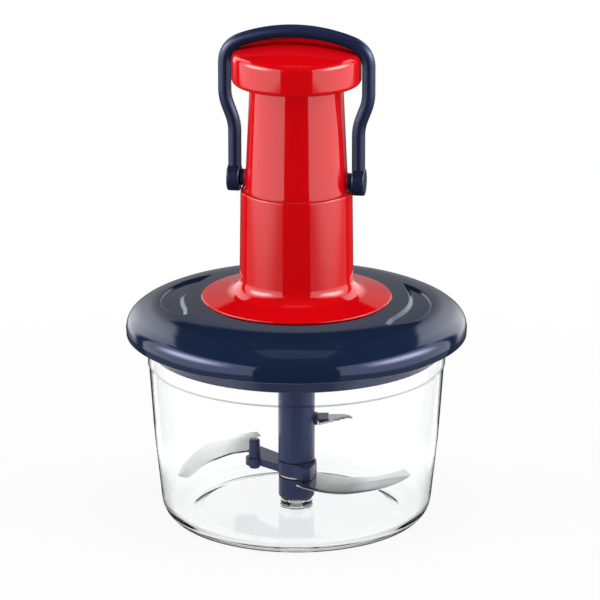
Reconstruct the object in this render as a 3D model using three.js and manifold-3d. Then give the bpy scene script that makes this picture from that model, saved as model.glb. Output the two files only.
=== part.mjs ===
// Hand press vegetable chopper: clear bowl, domed lid, pump column with a palm knob,
// carry bail and three blades on a turning shaft.
// Millimetres, +Z up. The origin is the centre of the bowl's foot ring, on the surface it stands on.
// The carry bail lies in the XZ plane, with its pivot pins along X.
import * as THREE from "three";
import { mergeVertices } from "three/addons/utils/BufferGeometryUtils.js";
import Module from "manifold-3d";

const wasm = await Module();
wasm.setup();

// Clearances shared by all pieces
const seatGap = 0.3; // between two pieces that rest on each other
const runGap = 0.35; // around a piece that turns or slides in another
const cutOverrun = 2; // how far a cutter reaches past what it cuts

// How finely round pieces are divided
const wideSides = 44;
const towerSides = 36;
const midSides = 28;
const smallSides = 16;
const tinySides = 8;
const arcSteps = 4;
const bladeSteps = 14; // along each edge of a blade

// Bowl
const bowlRimRadius = 72.2;
const bowlHeight = 95.5;
const bandHeight = 16.3; // of the proud band around the rim
const bandStep = 0.3;
const bowlWall = 2.4;
const bowlFootInset = 15.7; // of the place where the rounded corner meets the surface it stands on
const bowlCornerRun = 9.5;
const bowlCornerRise = 11;
const bowlWaistInset = 2.8; // of the wall's outside, halfway up
const bowlWaistHeight = 43;
const footRingWidth = 5.6;
const footRecess = 1.2;
const footSlope = 4.7; // how far the recess edge slopes in
const bowlFloor = 2.8;
const bossRadius = 9.4;
const bossTop = 9.8;
const bossFoot = 1.2; // chamfer where the boss meets the floor
const bandBottom = bowlHeight - bandHeight;
const bowlFootRadius = bowlRimRadius - bowlFootInset;
const bowlWaistRadius = bowlRimRadius - bowlWaistInset;
const bowlInnerRadius = bowlRimRadius - bowlWall;

// Heights of the stack over the bowl, each from what carries it
const plugDepth = 11.4; // how far the lid base's skirt reaches into the bowl
const baseFloorDepth = 7.3; // of the lid base's floor in the bowl
const baseHubHeight = 9;
const shaftDrop = 4.6; // of the blade shaft's top under the lid base
const hexReach = 6.1; // of the coupler's hexagon into the shaft
const journalDrop = 2; // of the journal's lower end under the lid base
const lidRise = 13.1; // of the lid's seat over the bowl's rim
const lidCrownRise = 1.2; // of the surface beside the column's flange over the seat
const lidLipDrop = 2.9; // of the lip's lower edge under the bowl's rim
const lidLipRise = 3.4; // of the outermost point over the lip's lower edge
const columnHeight = 55.5;
const columnFilletRise = 17.1;
const neckDepth = 45.4; // of the neck in the column
const neckTaperRise = 0.6; // of the taper's start over the column
const rodDepth = 42.9; // of the rod's lower end under the column
const rodBoreDepth = 20; // of the shaft's bore under the rod
const pivotRise = 4.6; // of the pivot pins over the column
const discRise = 50.6; // of the neck's disc over the pivot pins
const knobDrop = 3; // of the knob's lower edge under the disc's top
const knobShoulderRise = 11.8;
const knobCrownRise = 7.2;
const archRise = 6.2; // of the arch's middle line over the knob
const bailStepDrop = 8; // of the bend's upper end under the knob's lower edge
const bailStepRise = 12.6;
const skirtBottom = bowlHeight - plugDepth;
const baseFloorBottom = bowlHeight - baseFloorDepth;
const baseHubTop = baseFloorBottom + baseHubHeight;
const shaftTop = baseFloorBottom - shaftDrop;
const hexBottom = shaftTop - hexReach;
const journalBottom = baseFloorBottom - journalDrop;
const lidSeatTop = bowlHeight + lidRise;
const lidCrownTop = lidSeatTop + lidCrownRise;
const lidLipBottom = bowlHeight - lidLipDrop;
const lidLipHeight = lidLipBottom + lidLipRise;
const columnBottom = lidSeatTop + seatGap;
const columnTop = columnBottom + columnHeight;
const columnFilletTop = columnBottom + columnFilletRise;
const rodBottom = columnBottom - rodDepth;
const rodBoreBottom = rodBottom - rodBoreDepth;
const neckBottom = columnTop - neckDepth;
const neckTaperStart = columnTop + neckTaperRise;
const pivotHeight = columnTop + pivotRise;
const discTop = pivotHeight + discRise;
const knobBottom = discTop - knobDrop;
const knobShoulder = knobBottom + knobShoulderRise;
const knobTop = knobShoulder + knobCrownRise;
const bailTop = knobTop + archRise - pivotHeight; // this and the next two are over the pivot
const bailStepHigh = knobBottom - bailStepDrop - pivotHeight;
const bailStepLow = bailStepHigh - bailStepRise;

// Centre pin that the blade unit turns on
const pinRadius = 3;
const pinTop = 40;
const pinNose = 1.2;
const pinSeat = 3.4; // height of the pin's lower end

// Blade unit
const shaftRadius = 8.9;
const spigotRadius = 7;
const rodBoreRadius = 5;
const boreCone = 3;
const socketDepth = 7.4;
const footRadius = 8.8;
const footBottom = 10.1;
const footPlate = 2.2;
const footChamfer = 0.8;
const bladeThickness = 1;
const lowerBladeBottom = 19.1;
const collarRadius = 9.3;
const collarHeight = 6.7;
const armThickness = 3.5;
const armDrop = 2.1; // the arm's top lies this far below the collar's top
const bladeTurn = 9; // degrees that the blade unit is turned about its shaft at rest

// Lug on the collar over the root of the lower blade, in shares of the collar's radius
const lugShares = [
  [-0.3, -0.85],
  [0.33, -1.5],
  [0.7, -1.48],
  [1.06, -0.65],
  [1.04, 0],
  [0, 0],
];

// Arm of the middle blade, in shares of its reach
const armReach = 35;
const armShares = [
  [-0.13, -0.2],
  [-0.26, -0.09],
  [-0.49, 0.12],
  [-0.66, 0.31],
  [-0.66, 0.7],
  [-0.89, 0.74],
  [-0.86, 1],
  [-0.59, 1],
  [-0.52, 0.72],
  [-0.25, 0.42],
  [-0.07, 0.19],
];
const postPlace = { x: -20.7, y: 8.6 };
const postFootRadius = 2.9;
const postTopRadius = 2.65;
const postHeight = 9.2;
const postRound = 0.6;
const postBossRadius = 4.4;
const postTailRadius = 2.7;
const postTail = 1.9; // how far the post shows under the arm

// Outlines of the blades, in shares of each blade's reach: leading edge out, then trailing edge back
const lowerBladeMargin = 13.6; // between the blade's tip and the bowl's wall at the rim
const lowerBladeReach = bowlInnerRadius - lowerBladeMargin;
const lowerLeadShares = [
  [0, -0.31],
  [0.16, -0.44],
  [0.31, -0.51],
  [0.46, -0.51],
  [0.68, -0.42],
  [0.86, -0.26],
  [1, -0.05],
];
const lowerTrailShares = [
  [0.95, 0.1],
  [0.78, -0.04],
  [0.6, -0.11],
  [0.42, -0.11],
  [0.27, -0.05],
  [0.16, 0.04],
];
const middleBladeMargin = 9.8;
const middleBladeReach = bowlInnerRadius - middleBladeMargin;
const middleLeadShares = [
  [-0.33, 0.71],
  [-0.46, 0.69],
  [-0.57, 0.65],
  [-0.67, 0.57],
  [-0.74, 0.47],
  [-0.8, 0.36],
  [-0.86, 0.2],
  [-0.91, 0.02],
  [-0.94, -0.16],
  [-0.95, -0.3],
];
const middleTrailShares = [
  [-0.87, -0.39],
  [-0.81, -0.24],
  [-0.76, -0.11],
  [-0.69, 0.01],
  [-0.62, 0.09],
  [-0.53, 0.18],
  [-0.41, 0.24],
  [-0.37, 0.33],
  [-0.35, 0.55],
  [-0.3, 0.63],
];
const upperBladeReach = 27.5;
const upperBladeShares = [
  [0.39, -0.27],
  [0.58, -0.14],
  [0.66, -0.09],
  [0.67, -0.04],
  [0.77, -0.03],
  [0.78, 0.04],
  [0.86, 0.05],
  [0.88, 0.1],
  [0.93, 0.1],
  [0.97, 0.07],
  [1, 0.09],
  [0.96, 0.17],
  [0.93, 0.2],
  [0.85, 0.24],
  [0.73, 0.24],
  [0.39, 0.22],
];

// Socket that carries the upper blade on the side of the shaft
const upperBladeBottom = 46.9;
const blockHeight = 1; // over the blade
const blockWidth = 10;
const blockReach = 15.8;
const blockRootShare = 0.1; // how far the block runs into its pad, in shares of the shaft's radius
const socketPadHeight = 5.6;
const socketPadWidth = 4;
const socketPadReach = 10.4;

// Drive between the pump rod and the blade shaft
const hexFlats = 11.2;
const journalRadius = 8;
const couplerBore = 4.4;
const clipGrooveDepth = 0.9;
const clipThickness = 1;
const clipWidth = 2.8;
const clipOpening = 7;
const clutchRadius = 15;
const couplerFlange = 2.8;
const toothHeight = 1.6;
const toothCount = 8;
const toothWidth = 3;
const toothLength = 6;
const nutPlate = 2.5;
const nutHubRadius = 6.6;
const nutHubHeight = 4.6;

// Twisted pump rod
const rodWidth = 7;
const rodThickness = 2.6;
const rodLead = 24; // travel for one whole turn of the drive nut
const rodSteps = 42;
const rodStep = 1.2;
const rodHeadRadius = 3.8;
const rodShoulderRadius = 6;
const rodShoulder = 2.5;
const rodThread = 1.6;
const rodScrewReach = 10;
const washerRadius = 8;
const washerThickness = 1.2;
const rodScrewHeadRadius = 3.6;
const rodScrewHead = 2.4;

// Lid base: the cover under the lid with the plug skirt
const skirtGap = 0.5; // around the skirt inside the bowl's rim
const skirtWall = 2.2;
const baseFloor = 2;
const baseHubWall = 2.6;
const baseFlangeOverhang = 1; // over the bowl's rim
const baseFlangeRadius = bowlRimRadius + baseFlangeOverhang;
const baseFlange = 2.7;
const wellInner = 24;
const wellOuter = 30.4;
const sealThickness = 2;
const sealWidth = 2.2;

// Lid shell: points of its upper surface from the column seat out to the lip
const lidOverhang = 10.4; // past the bowl's rim
const lidRadius = bowlRimRadius + lidOverhang;
const lidSeatRadius = 46.4;
const lidWall = 2.6;
const lidLipWall = 2.1;
const lidLipDraft = 0.5; // how far the lip leans in towards its lower edge
const lidOpening = 27.2;
const lidEdgeTurn = 6; // power with which the surface's slope grows towards the lip
// Share of the way from the seat's edge to the lip's outermost point, and share of the drop on that way
const lidDropShares = [
  [0, 0],
  [0.26, 0.03],
  [0.43, 0.07],
  [0.54, 0.12],
  [0.65, 0.195],
  [0.76, 0.31],
  [0.845, 0.42],
  [0.905, 0.53],
  [0.955, 0.66],
  [0.985, 0.81],
  [1, 1],
];

// Crescent recesses either side of the column
const recessDepth = 1.4;
const recessInner = 54;
const recessWidth = 13; // at its widest
const recessTipAngle = 37; // degrees behind the pivot axis
const recessEndAngle = 35; // degrees in front of it
// Distance of the edges from the recess's inner radius, in shares of its width, from tip to blunt end
const recessOuterShares = [0.3, 0.52, 0.7, 0.84, 0.94, 0.99, 1, 0.94, 0.79, 0.52];
const recessInnerShares = [0.3, 0.13, 0.05, 0.01, 0, 0, 0, 0.01, 0.06, 0.26];

// Pump column
const columnRimRadius = 26.9;
const columnFootRadius = 27.5;
const columnFilletRadius = 13;
const flangeInset = 0.55; // of the flange inside the lid's seat
const flangeRadius = lidSeatRadius - flangeInset;
const flangeEdge = 2.2;
const flangeRise = 1.5; // how much higher the flange's top is where the fillet starts
const columnRimRound = 0.8;
const columnRimCorner = 0.27; // how far the middle of the round lies inside the corner
const mouthLip = 3.4;
const boreStep = 0.65;

// Neck: the sliding sleeve under the knob
const neckRadius = 24.8; // in the column's mouth
const neckTopRadius = 22.3;
const neckWall = 2.2;
const beadHeight = 5.7;
const beadStep = 0.55;
const discThickness = 2.6;
const discRadius = 28;
const rodBossRadius = 7.4;
const rodBossLength = 8;

// Knob
const knobRadius = 31;
const knobLowerRound = 2.4;
const knobShoulderRound = 3.6;
const knobRoundTurn = 65; // degrees that both rounds turn through
const knobWall = 2.4;
const knobLedge = 1.2;

// Carry bail and its pivot pins
const pivotRadius = 2.45;
const pivotBossRadius = 4.4;
const pivotBossReach = 24.9;
const pivotCollarRadius = 4;
const pivotBossInner = 21.4;
const pivotHeadRadius = 3.9;
const pivotHead = 1.3;
const eyeRadius = 6.7;
const eyeInner = 27.25;
const eyeThickness = 6;
const eyeCap = 1.5;
const eyeRound = 0.7;
const dimpleRadius = 0.9;
const dimpleDepth = 0.5;
const bailTube = 3.2;
const bailLowerSpan = 29.95; // half the distance between the lower legs
const bailUpperSpan = 34.7;
const archRadius = 76;
const cornerRadius = 8.5;
const stepBend = 4.2;
const bailSteps = 60;
const bailLegSteps = 20;
const bailArchSteps = 10; // from a corner to the middle
const bailSides = 10;

// Return spring around the rod
const springRadius = 9.8;
const springWire = 0.7;
const springCurls = 8;
const curlSteps = 8;
const wireSides = 5;

// Screws
const screwShank = 1.4;
const screwHeadRadius = 2.9;
const screwHead = 2;
const coverScrewCount = 3;
const coverScrewTurn = 30; // degrees from the pivot axis to the first screw
const coverScrewReach = 5.5;
const columnScrewCount = 3;
const columnScrewCircle = 38;
const columnScrewTurn = 90;
const columnScrewDepth = 3.2; // of its hole in the column's flange
const baseScrewCount = 4;
const baseScrewCircle = 52;
const baseScrewTurn = 45;
const baseScrewReach = 8;
const baseBossRadius = 3.6;

// Drive cover
const coverHeight = 10; // over the hub
const coverTop = baseHubTop + coverHeight;
const coverPlate = 2;
const coverWall = 2;
const coverFoot = 2;

// Materials
const clear = new THREE.MeshStandardMaterial({
  color: 0xf4f7f7,
  roughness: 0.05,
  transparent: true,
  opacity: 0.3,
});
const red = new THREE.MeshStandardMaterial({ color: 0xd80d14, roughness: 0.12 });
const navy = new THREE.MeshStandardMaterial({ color: 0x1c2a48, roughness: 0.16 });
const satinNavy = new THREE.MeshStandardMaterial({ color: 0x242c48, roughness: 0.3 });
const steel = new THREE.MeshStandardMaterial({ color: 0xb9b9b6, roughness: 0.28, metalness: 1 });
const rubber = new THREE.MeshStandardMaterial({ color: 0xd8dadb, roughness: 0.6 });
const nylon = new THREE.MeshStandardMaterial({ color: 0xe8e6de, roughness: 0.45 });

// A closed geometry as a solid, turned face out
function solid(geometry) {
  const bare = geometry.index ? geometry.toNonIndexed() : geometry.clone();
  bare.deleteAttribute("normal");
  bare.deleteAttribute("uv");
  const merged = mergeVertices(bare, 1e-4);
  const vertProperties = merged.attributes.position.array;
  const triVerts = new Uint32Array(merged.index.array);
  const made = new wasm.Manifold(new wasm.Mesh({ numProp: 3, vertProperties, triVerts }));
  if (made.volume() > 0) return made;
  const turned = triVerts.map((_, i) => triVerts[i - (i % 3) + 2 - (i % 3)]);
  return new wasm.Manifold(new wasm.Mesh({ numProp: 3, vertProperties, triVerts: turned }));
}

function geometryOf(body) {
  const { numProp, vertProperties, triVerts } = body.getMesh();
  const places = new Float32Array((vertProperties.length / numProp) * 3);
  for (let i = 0; i < places.length / 3; i++) {
    places.set(vertProperties.subarray(i * numProp, i * numProp + 3), i * 3);
  }
  const geometry = new THREE.BufferGeometry();
  geometry.setAttribute("position", new THREE.BufferAttribute(places, 3));
  geometry.setIndex(new THREE.BufferAttribute(triVerts, 1));
  geometry.computeVertexNormals();
  return geometry;
}

function piece(name, body, material) {
  const mesh = new THREE.Mesh(geometryOf(body), material);
  mesh.name = name;
  return mesh;
}

function without(body, cutters) {
  return cutters.reduce((left, cutter) => left.subtract(cutter), body);
}

function withAll(body, added) {
  return added.reduce((sum, next) => sum.add(next), body);
}

const point = (r, z) => new THREE.Vector2(r, z);
const radians = THREE.MathUtils.degToRad;

// Points of a circular or elliptical arc in a profile, angles in degrees
function arc(r, z, radius, from, to, steps = arcSteps, height = radius) {
  return Array.from({ length: steps + 1 }, (_, i) => {
    const angle = radians(from + ((to - from) * i) / steps);
    return point(r + radius * Math.cos(angle), z + height * Math.sin(angle));
  });
}

// A profile of radius and height points turned about the Z axis
function turned(profile, sides = midSides) {
  const onAxis = profile[0].x === 0 && profile[profile.length - 1].x === 0;
  const closed = onAxis ? profile : [...profile, profile[0]];
  return solid(new THREE.LatheGeometry(closed, sides).rotateX(Math.PI / 2));
}

function rod(radius, bottom, top, sides = smallSides) {
  return turned([point(0, bottom), point(radius, bottom), point(radius, top), point(0, top)], sides);
}

function ring(inner, outer, bottom, top, sides = midSides) {
  return turned([point(inner, bottom), point(outer, bottom), point(outer, top), point(inner, top)], sides);
}

// A flat outline raised between two heights
function plate(shape, bottom, top) {
  const geometry = new THREE.ExtrudeGeometry(shape, { depth: top - bottom, bevelEnabled: false });
  return solid(geometry.translate(0, 0, bottom));
}

function scaled(shares, size) {
  return shares.map(([x, y]) => new THREE.Vector2(x * size, y * size));
}

function outline(points) {
  return new THREE.Shape(points);
}

function bar(width, depth, height, x, y, z) {
  return solid(new THREE.BoxGeometry(width, depth, height).translate(x, y, z));
}

// Places on a circle, one for each copy
function around(count, circle, turn = 0) {
  return Array.from({ length: count }, (_, i) => {
    const angle = radians(turn + (360 * i) / count);
    return [circle * Math.cos(angle), circle * Math.sin(angle)];
  });
}

function hexagon(flats, bottom, top) {
  const reach = flats / Math.sqrt(3);
  return rod(reach, bottom, top, 6);
}

// Bowl
function bowl() {
  const floorTop = footRecess + bowlFloor;
  const innerRun = bowlCornerRun - bowlWall;
  const innerRise = bowlCornerRise - floorTop;
  const profile = [
    point(0, footRecess),
    point(bowlFootRadius - footRingWidth - footSlope, footRecess),
    point(bowlFootRadius - footRingWidth, 0),
    ...arc(bowlFootRadius, bowlCornerRise, bowlCornerRun, -90, 0, arcSteps + 1, bowlCornerRise),
    point(bowlWaistRadius, bowlWaistHeight),
    point(bowlRimRadius - bandStep, bandBottom),
    point(bowlRimRadius, bandBottom + bandStep),
    point(bowlRimRadius, bowlHeight - bandStep),
    point(bowlRimRadius - bandStep, bowlHeight),
    point(bowlRimRadius - bowlWall, bowlHeight),
    point(bowlRimRadius - bowlWall, bandBottom),
    point(bowlWaistRadius - bowlWall, bowlWaistHeight),
    ...arc(bowlFootRadius, bowlCornerRise, innerRun, 0, -90, arcSteps, innerRise),
    point(bossRadius + bossFoot, floorTop),
    point(bossRadius, floorTop + bossFoot),
    point(bossRadius, bossTop),
    point(pinRadius + seatGap, bossTop),
    point(pinRadius + seatGap, pinSeat - seatGap),
    point(0, pinSeat - seatGap),
  ];
  return turned(profile, wideSides);
}

function bowlPin() {
  return turned(
    [
      point(0, pinSeat),
      point(pinRadius, pinSeat),
      point(pinRadius, pinTop - pinNose),
      point(pinRadius - pinNose, pinTop),
      point(0, pinTop),
    ],
    smallSides,
  );
}

// Blade unit
const collarBottom = lowerBladeBottom + bladeThickness + seatGap;
const collarTop = collarBottom + collarHeight;
const armTop = collarTop - armDrop;
const shoulder = collarTop + seatGap;
const socketFlats = hexFlats + 2 * runGap;

function bladeShaft() {
  const bore = pinRadius + runGap;
  const spigotBottom = footBottom + footPlate + seatGap;
  const body = turned([
    point(bore, spigotBottom),
    point(spigotRadius, spigotBottom),
    point(spigotRadius, shoulder),
    point(shaftRadius, shoulder),
    point(shaftRadius, shaftTop),
    point(rodBoreRadius, shaftTop),
    point(rodBoreRadius, rodBoreBottom),
    point(bore, rodBoreBottom - boreCone),
  ]);
  return body.subtract(hexagon(socketFlats, shaftTop - socketDepth, shaftTop + cutOverrun));
}

function shaftFoot() {
  const bore = pinRadius + runGap;
  const top = lowerBladeBottom - seatGap;
  return turned([
    point(bore, footBottom),
    point(footRadius - footChamfer, footBottom),
    point(footRadius, footBottom + footChamfer),
    point(footRadius, top),
    point(spigotRadius + seatGap, top),
    point(spigotRadius + seatGap, footBottom + footPlate),
    point(bore, footBottom + footPlate),
  ]);
}

// A blade's outline as a curve out along its leading edge, across the tip, and back along its trailing edge
function bladeShape(lead, trail, reach) {
  const leadCurve = new THREE.SplineCurve(scaled(lead, reach)).getPoints(bladeSteps);
  const trailCurve = new THREE.SplineCurve(scaled(trail, reach)).getPoints(bladeSteps);
  return outline([...leadCurve, ...trailCurve]);
}

function lowerBlade() {
  const top = lowerBladeBottom + bladeThickness;
  const shape = bladeShape(lowerLeadShares, lowerTrailShares, lowerBladeReach);
  const eye = rod(collarRadius, lowerBladeBottom, top, midSides);
  const hole = rod(spigotRadius + seatGap, lowerBladeBottom - cutOverrun, top + cutOverrun, midSides);
  return plate(shape, lowerBladeBottom, top).add(eye).subtract(hole);
}

function middleBlade() {
  const bottom = armTop + seatGap;
  const shape = bladeShape(middleLeadShares, middleTrailShares, middleBladeReach);
  return plate(shape, bottom, bottom + bladeThickness);
}

function bladeArm() {
  const armBottom = armTop - armThickness;
  const postTop = armTop + postHeight;
  const post = turned(
    [
      point(0, armBottom - postTail),
      point(postTailRadius - postRound, armBottom - postTail),
      point(postTailRadius, armBottom - postTail + postRound),
      point(postTailRadius, armTop),
      point(postFootRadius, armTop),
      point(postTopRadius, postTop - postRound),
      point(postTopRadius - postRound, postTop),
      point(0, postTop),
    ],
    smallSides,
  );
  const boss = rod(postBossRadius, armBottom, armTop);
  return rod(collarRadius, collarBottom, collarTop, midSides)
    .add(plate(outline(scaled(lugShares, collarRadius)), collarBottom, collarTop))
    .add(plate(outline(scaled(armShares, armReach)), armBottom, armTop))
    .add(boss.add(post).translate([postPlace.x, postPlace.y, 0]))
    .subtract(rod(spigotRadius + seatGap, collarBottom - cutOverrun, collarTop + cutOverrun, midSides));
}

// The socket's pad lies against the shaft, so its inner face is cut by the shaft's round
function bladeSocket() {
  const bladeTop = upperBladeBottom + bladeThickness;
  const pad = bar(socketPadReach, socketPadWidth, socketPadHeight, socketPadReach / 2, 0, bladeTop);
  const blockMiddle = bladeTop + seatGap + blockHeight / 2;
  const blockLength = blockReach - socketPadReach + shaftRadius * blockRootShare;
  const block = bar(blockLength, blockWidth, blockHeight, blockReach - blockLength / 2, 0, blockMiddle);
  const seat = rod(
    shaftRadius + seatGap,
    bladeTop - socketPadHeight,
    bladeTop + socketPadHeight,
    midSides,
  );
  return pad.add(block).subtract(seat);
}

function upperBlade() {
  const shape = outline(scaled(upperBladeShares, upperBladeReach));
  return plate(shape, upperBladeBottom, upperBladeBottom + bladeThickness);
}

// Drive
const couplerSeat = baseHubTop + seatGap;
const couplerTop = couplerSeat + couplerFlange;
const nutBottom = couplerTop + toothHeight + seatGap;
const nutTop = nutBottom + nutPlate;

// Clutch teeth: bars that point at the axis, standing between two heights
function teeth(bottom, top, turn) {
  const reach = clutchRadius - toothLength / 2 - seatGap;
  return Array.from({ length: toothCount }, (_, i) => {
    const box = new THREE.BoxGeometry(toothLength, toothWidth, top - bottom);
    box.translate(reach, 0, (top + bottom) / 2);
    return solid(box.rotateZ(radians(turn + (360 * i) / toothCount)));
  });
}

function driveCoupler() {
  const body = turned([
    point(couplerBore, journalBottom),
    point(journalRadius, journalBottom),
    point(journalRadius, baseFloorBottom - seatGap - clipThickness - seatGap),
    point(journalRadius - clipGrooveDepth, baseFloorBottom - seatGap - clipThickness - seatGap),
    point(journalRadius - clipGrooveDepth, baseFloorBottom),
    point(journalRadius, baseFloorBottom),
    point(journalRadius, couplerSeat),
    point(clutchRadius, couplerSeat),
    point(clutchRadius, couplerTop),
    point(couplerBore, couplerTop),
  ]);
  const hex = hexagon(hexFlats, hexBottom, journalBottom + cutOverrun);
  const bore = rod(couplerBore, hexBottom - cutOverrun, couplerTop + cutOverrun);
  const raised = teeth(couplerTop - seatGap, couplerTop + toothHeight, 0);
  return withAll(body, [...raised, hex]).subtract(bore);
}

function couplerClip() {
  const top = baseFloorBottom - seatGap;
  const inner = journalRadius - clipGrooveDepth + seatGap;
  const body = ring(inner, inner + clipWidth, top - clipThickness, top);
  return body.subtract(bar(inner + clipWidth, clipOpening, clipThickness * 4, inner, 0, top));
}

// A flat bar twisted about the Z axis, from one of the rod's steps to another
function twistedBar(width, thickness, first, last) {
  const corners = [
    [-width / 2, -thickness / 2],
    [0, -thickness / 2],
    [width / 2, -thickness / 2],
    [width / 2, thickness / 2],
    [0, thickness / 2],
    [-width / 2, thickness / 2],
  ];
  const count = corners.length;
  const places = [];
  for (let i = first; i <= last; i++) {
    const turn = ((i * rodStep) / rodLead) * 2 * Math.PI;
    for (const [x, y] of corners) {
      const z = rodBottom + i * rodStep;
      places.push(x * Math.cos(turn) + y * Math.sin(turn), y * Math.cos(turn) - x * Math.sin(turn), z);
    }
  }
  const faces = [];
  for (let i = 0; i < last - first; i++) {
    for (let k = 0; k < count; k++) {
      const a = i * count + k;
      const b = i * count + ((k + 1) % count);
      faces.push(a, b, a + count, b, b + count, a + count);
    }
  }
  const end = (last - first) * count;
  for (let k = 1; k < count - 1; k++) {
    faces.push(0, k + 1, k);
    faces.push(end, end + k, end + k + 1);
  }
  const geometry = new THREE.BufferGeometry();
  geometry.setAttribute("position", new THREE.Float32BufferAttribute(places, 3));
  geometry.setIndex(faces);
  return solid(geometry);
}

// The slot's twist goes on from the rod's, so the rod slides through as the nut turns
function driveNut() {
  const slotFirst = Math.floor((nutBottom - toothHeight - cutOverrun - rodBottom) / rodStep);
  const slotLast = Math.ceil((nutTop + nutHubHeight + cutOverrun - rodBottom) / rodStep);
  const slot = twistedBar(rodWidth + 2 * runGap, rodThickness + 2 * runGap, slotFirst, slotLast);
  const body = turned([
    point(0, nutBottom),
    point(clutchRadius, nutBottom),
    point(clutchRadius, nutTop),
    point(nutHubRadius, nutTop),
    point(nutHubRadius, nutTop + nutHubHeight),
    point(0, nutTop + nutHubHeight),
  ]);
  const between = 180 / toothCount;
  const lower = nutBottom - toothHeight;
  return withAll(body, teeth(lower, nutBottom + seatGap, between)).subtract(slot);
}

function twistRod() {
  const twistTop = rodBottom + rodStep * rodSteps;
  const head = turned([
    point(0, twistTop - rodStep),
    point(rodHeadRadius, twistTop - rodStep),
    point(rodHeadRadius, discTop - discThickness - rodBossLength - seatGap - rodShoulder),
    point(rodShoulderRadius, discTop - discThickness - rodBossLength - seatGap - rodShoulder),
    point(rodShoulderRadius, discTop - discThickness - rodBossLength - seatGap),
    point(rodHeadRadius, discTop - discThickness - rodBossLength - seatGap),
    point(rodHeadRadius, discTop - seatGap),
    point(0, discTop - seatGap),
  ]);
  const thread = rod(rodThread + seatGap, discTop - rodScrewReach - 2 * seatGap, discTop + cutOverrun);
  return twistedBar(rodWidth, rodThickness, 0, rodSteps).add(head).subtract(thread);
}

function rodWasher() {
  const bottom = discTop + seatGap;
  return ring(rodThread + seatGap, washerRadius, bottom, bottom + washerThickness, smallSides);
}

function rodScrew() {
  const seat = discTop + washerThickness + 2 * seatGap;
  return rod(rodThread, discTop - rodScrewReach, seat + seatGap, tinySides).add(
    rod(rodScrewHeadRadius, seat, seat + rodScrewHead, tinySides),
  );
}

// Lid base
const skirtRadius = bowlInnerRadius - skirtGap;
const baseFloorTop = baseFloorBottom + baseFloor;
const sealBottom = bowlHeight + seatGap;
const flangeBottom = sealBottom + sealThickness + seatGap;
const flangeTop = flangeBottom + baseFlange;
const hubBore = journalRadius + runGap;
const coverScrewCircle = (wellInner + wellOuter) / 2;

function screwHoles(count, circle, radius, bottom, top, turn) {
  const hole = rod(radius, bottom, top, tinySides);
  return around(count, circle, turn).map(([x, y]) => hole.translate([x, y, 0]));
}

function lidBase() {
  const body = turned(
    [
      point(hubBore, baseFloorBottom),
      point(skirtRadius - skirtWall, baseFloorBottom),
      point(skirtRadius - skirtWall, skirtBottom),
      point(skirtRadius, skirtBottom),
      point(skirtRadius, flangeBottom),
      point(baseFlangeRadius, flangeBottom),
      point(baseFlangeRadius, flangeTop),
      point(skirtRadius - skirtWall, flangeTop),
      point(skirtRadius - skirtWall, baseFloorTop),
      point(wellOuter, baseFloorTop),
      point(wellOuter, baseHubTop),
      point(wellInner, baseHubTop),
      point(wellInner, baseFloorTop),
      point(hubBore + baseHubWall, baseFloorTop),
      point(hubBore + baseHubWall, baseHubTop),
      point(hubBore, baseHubTop),
    ],
    wideSides,
  );
  const shank = screwShank + seatGap;
  const through = screwHoles(
    baseScrewCount,
    baseScrewCircle,
    shank,
    skirtBottom,
    baseHubTop,
    baseScrewTurn,
  );
  const blind = screwHoles(
    coverScrewCount,
    coverScrewCircle,
    shank,
    baseHubTop - coverScrewReach - seatGap,
    baseHubTop + cutOverrun,
    coverScrewTurn,
  );
  return without(body, [...through, ...blind]);
}

function lidSeal() {
  const outer = bowlInnerRadius + sealWidth;
  return ring(bowlInnerRadius, outer, sealBottom, sealBottom + sealThickness, wideSides);
}

function driveCover() {
  const foot = baseHubTop + seatGap;
  const body = turned([
    point(nutHubRadius + runGap, coverTop - coverPlate),
    point(wellInner - coverWall, coverTop - coverPlate),
    point(wellInner - coverWall, foot),
    point(wellOuter, foot),
    point(wellOuter, foot + coverFoot),
    point(wellInner, foot + coverFoot),
    point(wellInner, coverTop),
    point(nutHubRadius + runGap, coverTop),
  ]);
  const shank = screwShank + seatGap;
  const low = foot - cutOverrun;
  const holes = screwHoles(coverScrewCount, coverScrewCircle, shank, low, coverTop, coverScrewTurn);
  return without(body, holes);
}

// Lid shell
function lidSurface(inset) {
  const run = lidRadius - lidSeatRadius;
  const drop = lidCrownTop - lidLipHeight;
  return lidDropShares.map(([out, down]) => {
    const slope = radians(90 * out ** lidEdgeTurn);
    const r = lidSeatRadius + run * out - inset * Math.sin(slope);
    return point(r, lidCrownTop - drop * down - inset * Math.cos(slope));
  });
}

function lidRecessEdge(shares, side) {
  const last = shares.length - 1;
  return shares.map((share, i) => {
    const radius = recessInner + recessWidth * share;
    const angle = radians(recessTipAngle - ((recessTipAngle + recessEndAngle) * i) / last);
    return new THREE.Vector2(side * radius * Math.cos(angle), radius * Math.sin(angle));
  });
}

function lidRecessCutter(side) {
  const outer = lidRecessEdge(recessOuterShares, side);
  const inner = lidRecessEdge(recessInnerShares, side).slice(1).reverse();
  const prism = plate(outline([...outer, ...inner]), lidLipBottom, lidCrownTop + cutOverrun);
  const above = lidCrownTop + 2 * cutOverrun;
  const floor = lidSurface(recessDepth).slice(0, -2);
  const slab = [...floor, point(floor[floor.length - 1].x, above), point(floor[0].x, above)];
  return prism.intersect(turned(slab, wideSides));
}

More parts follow.
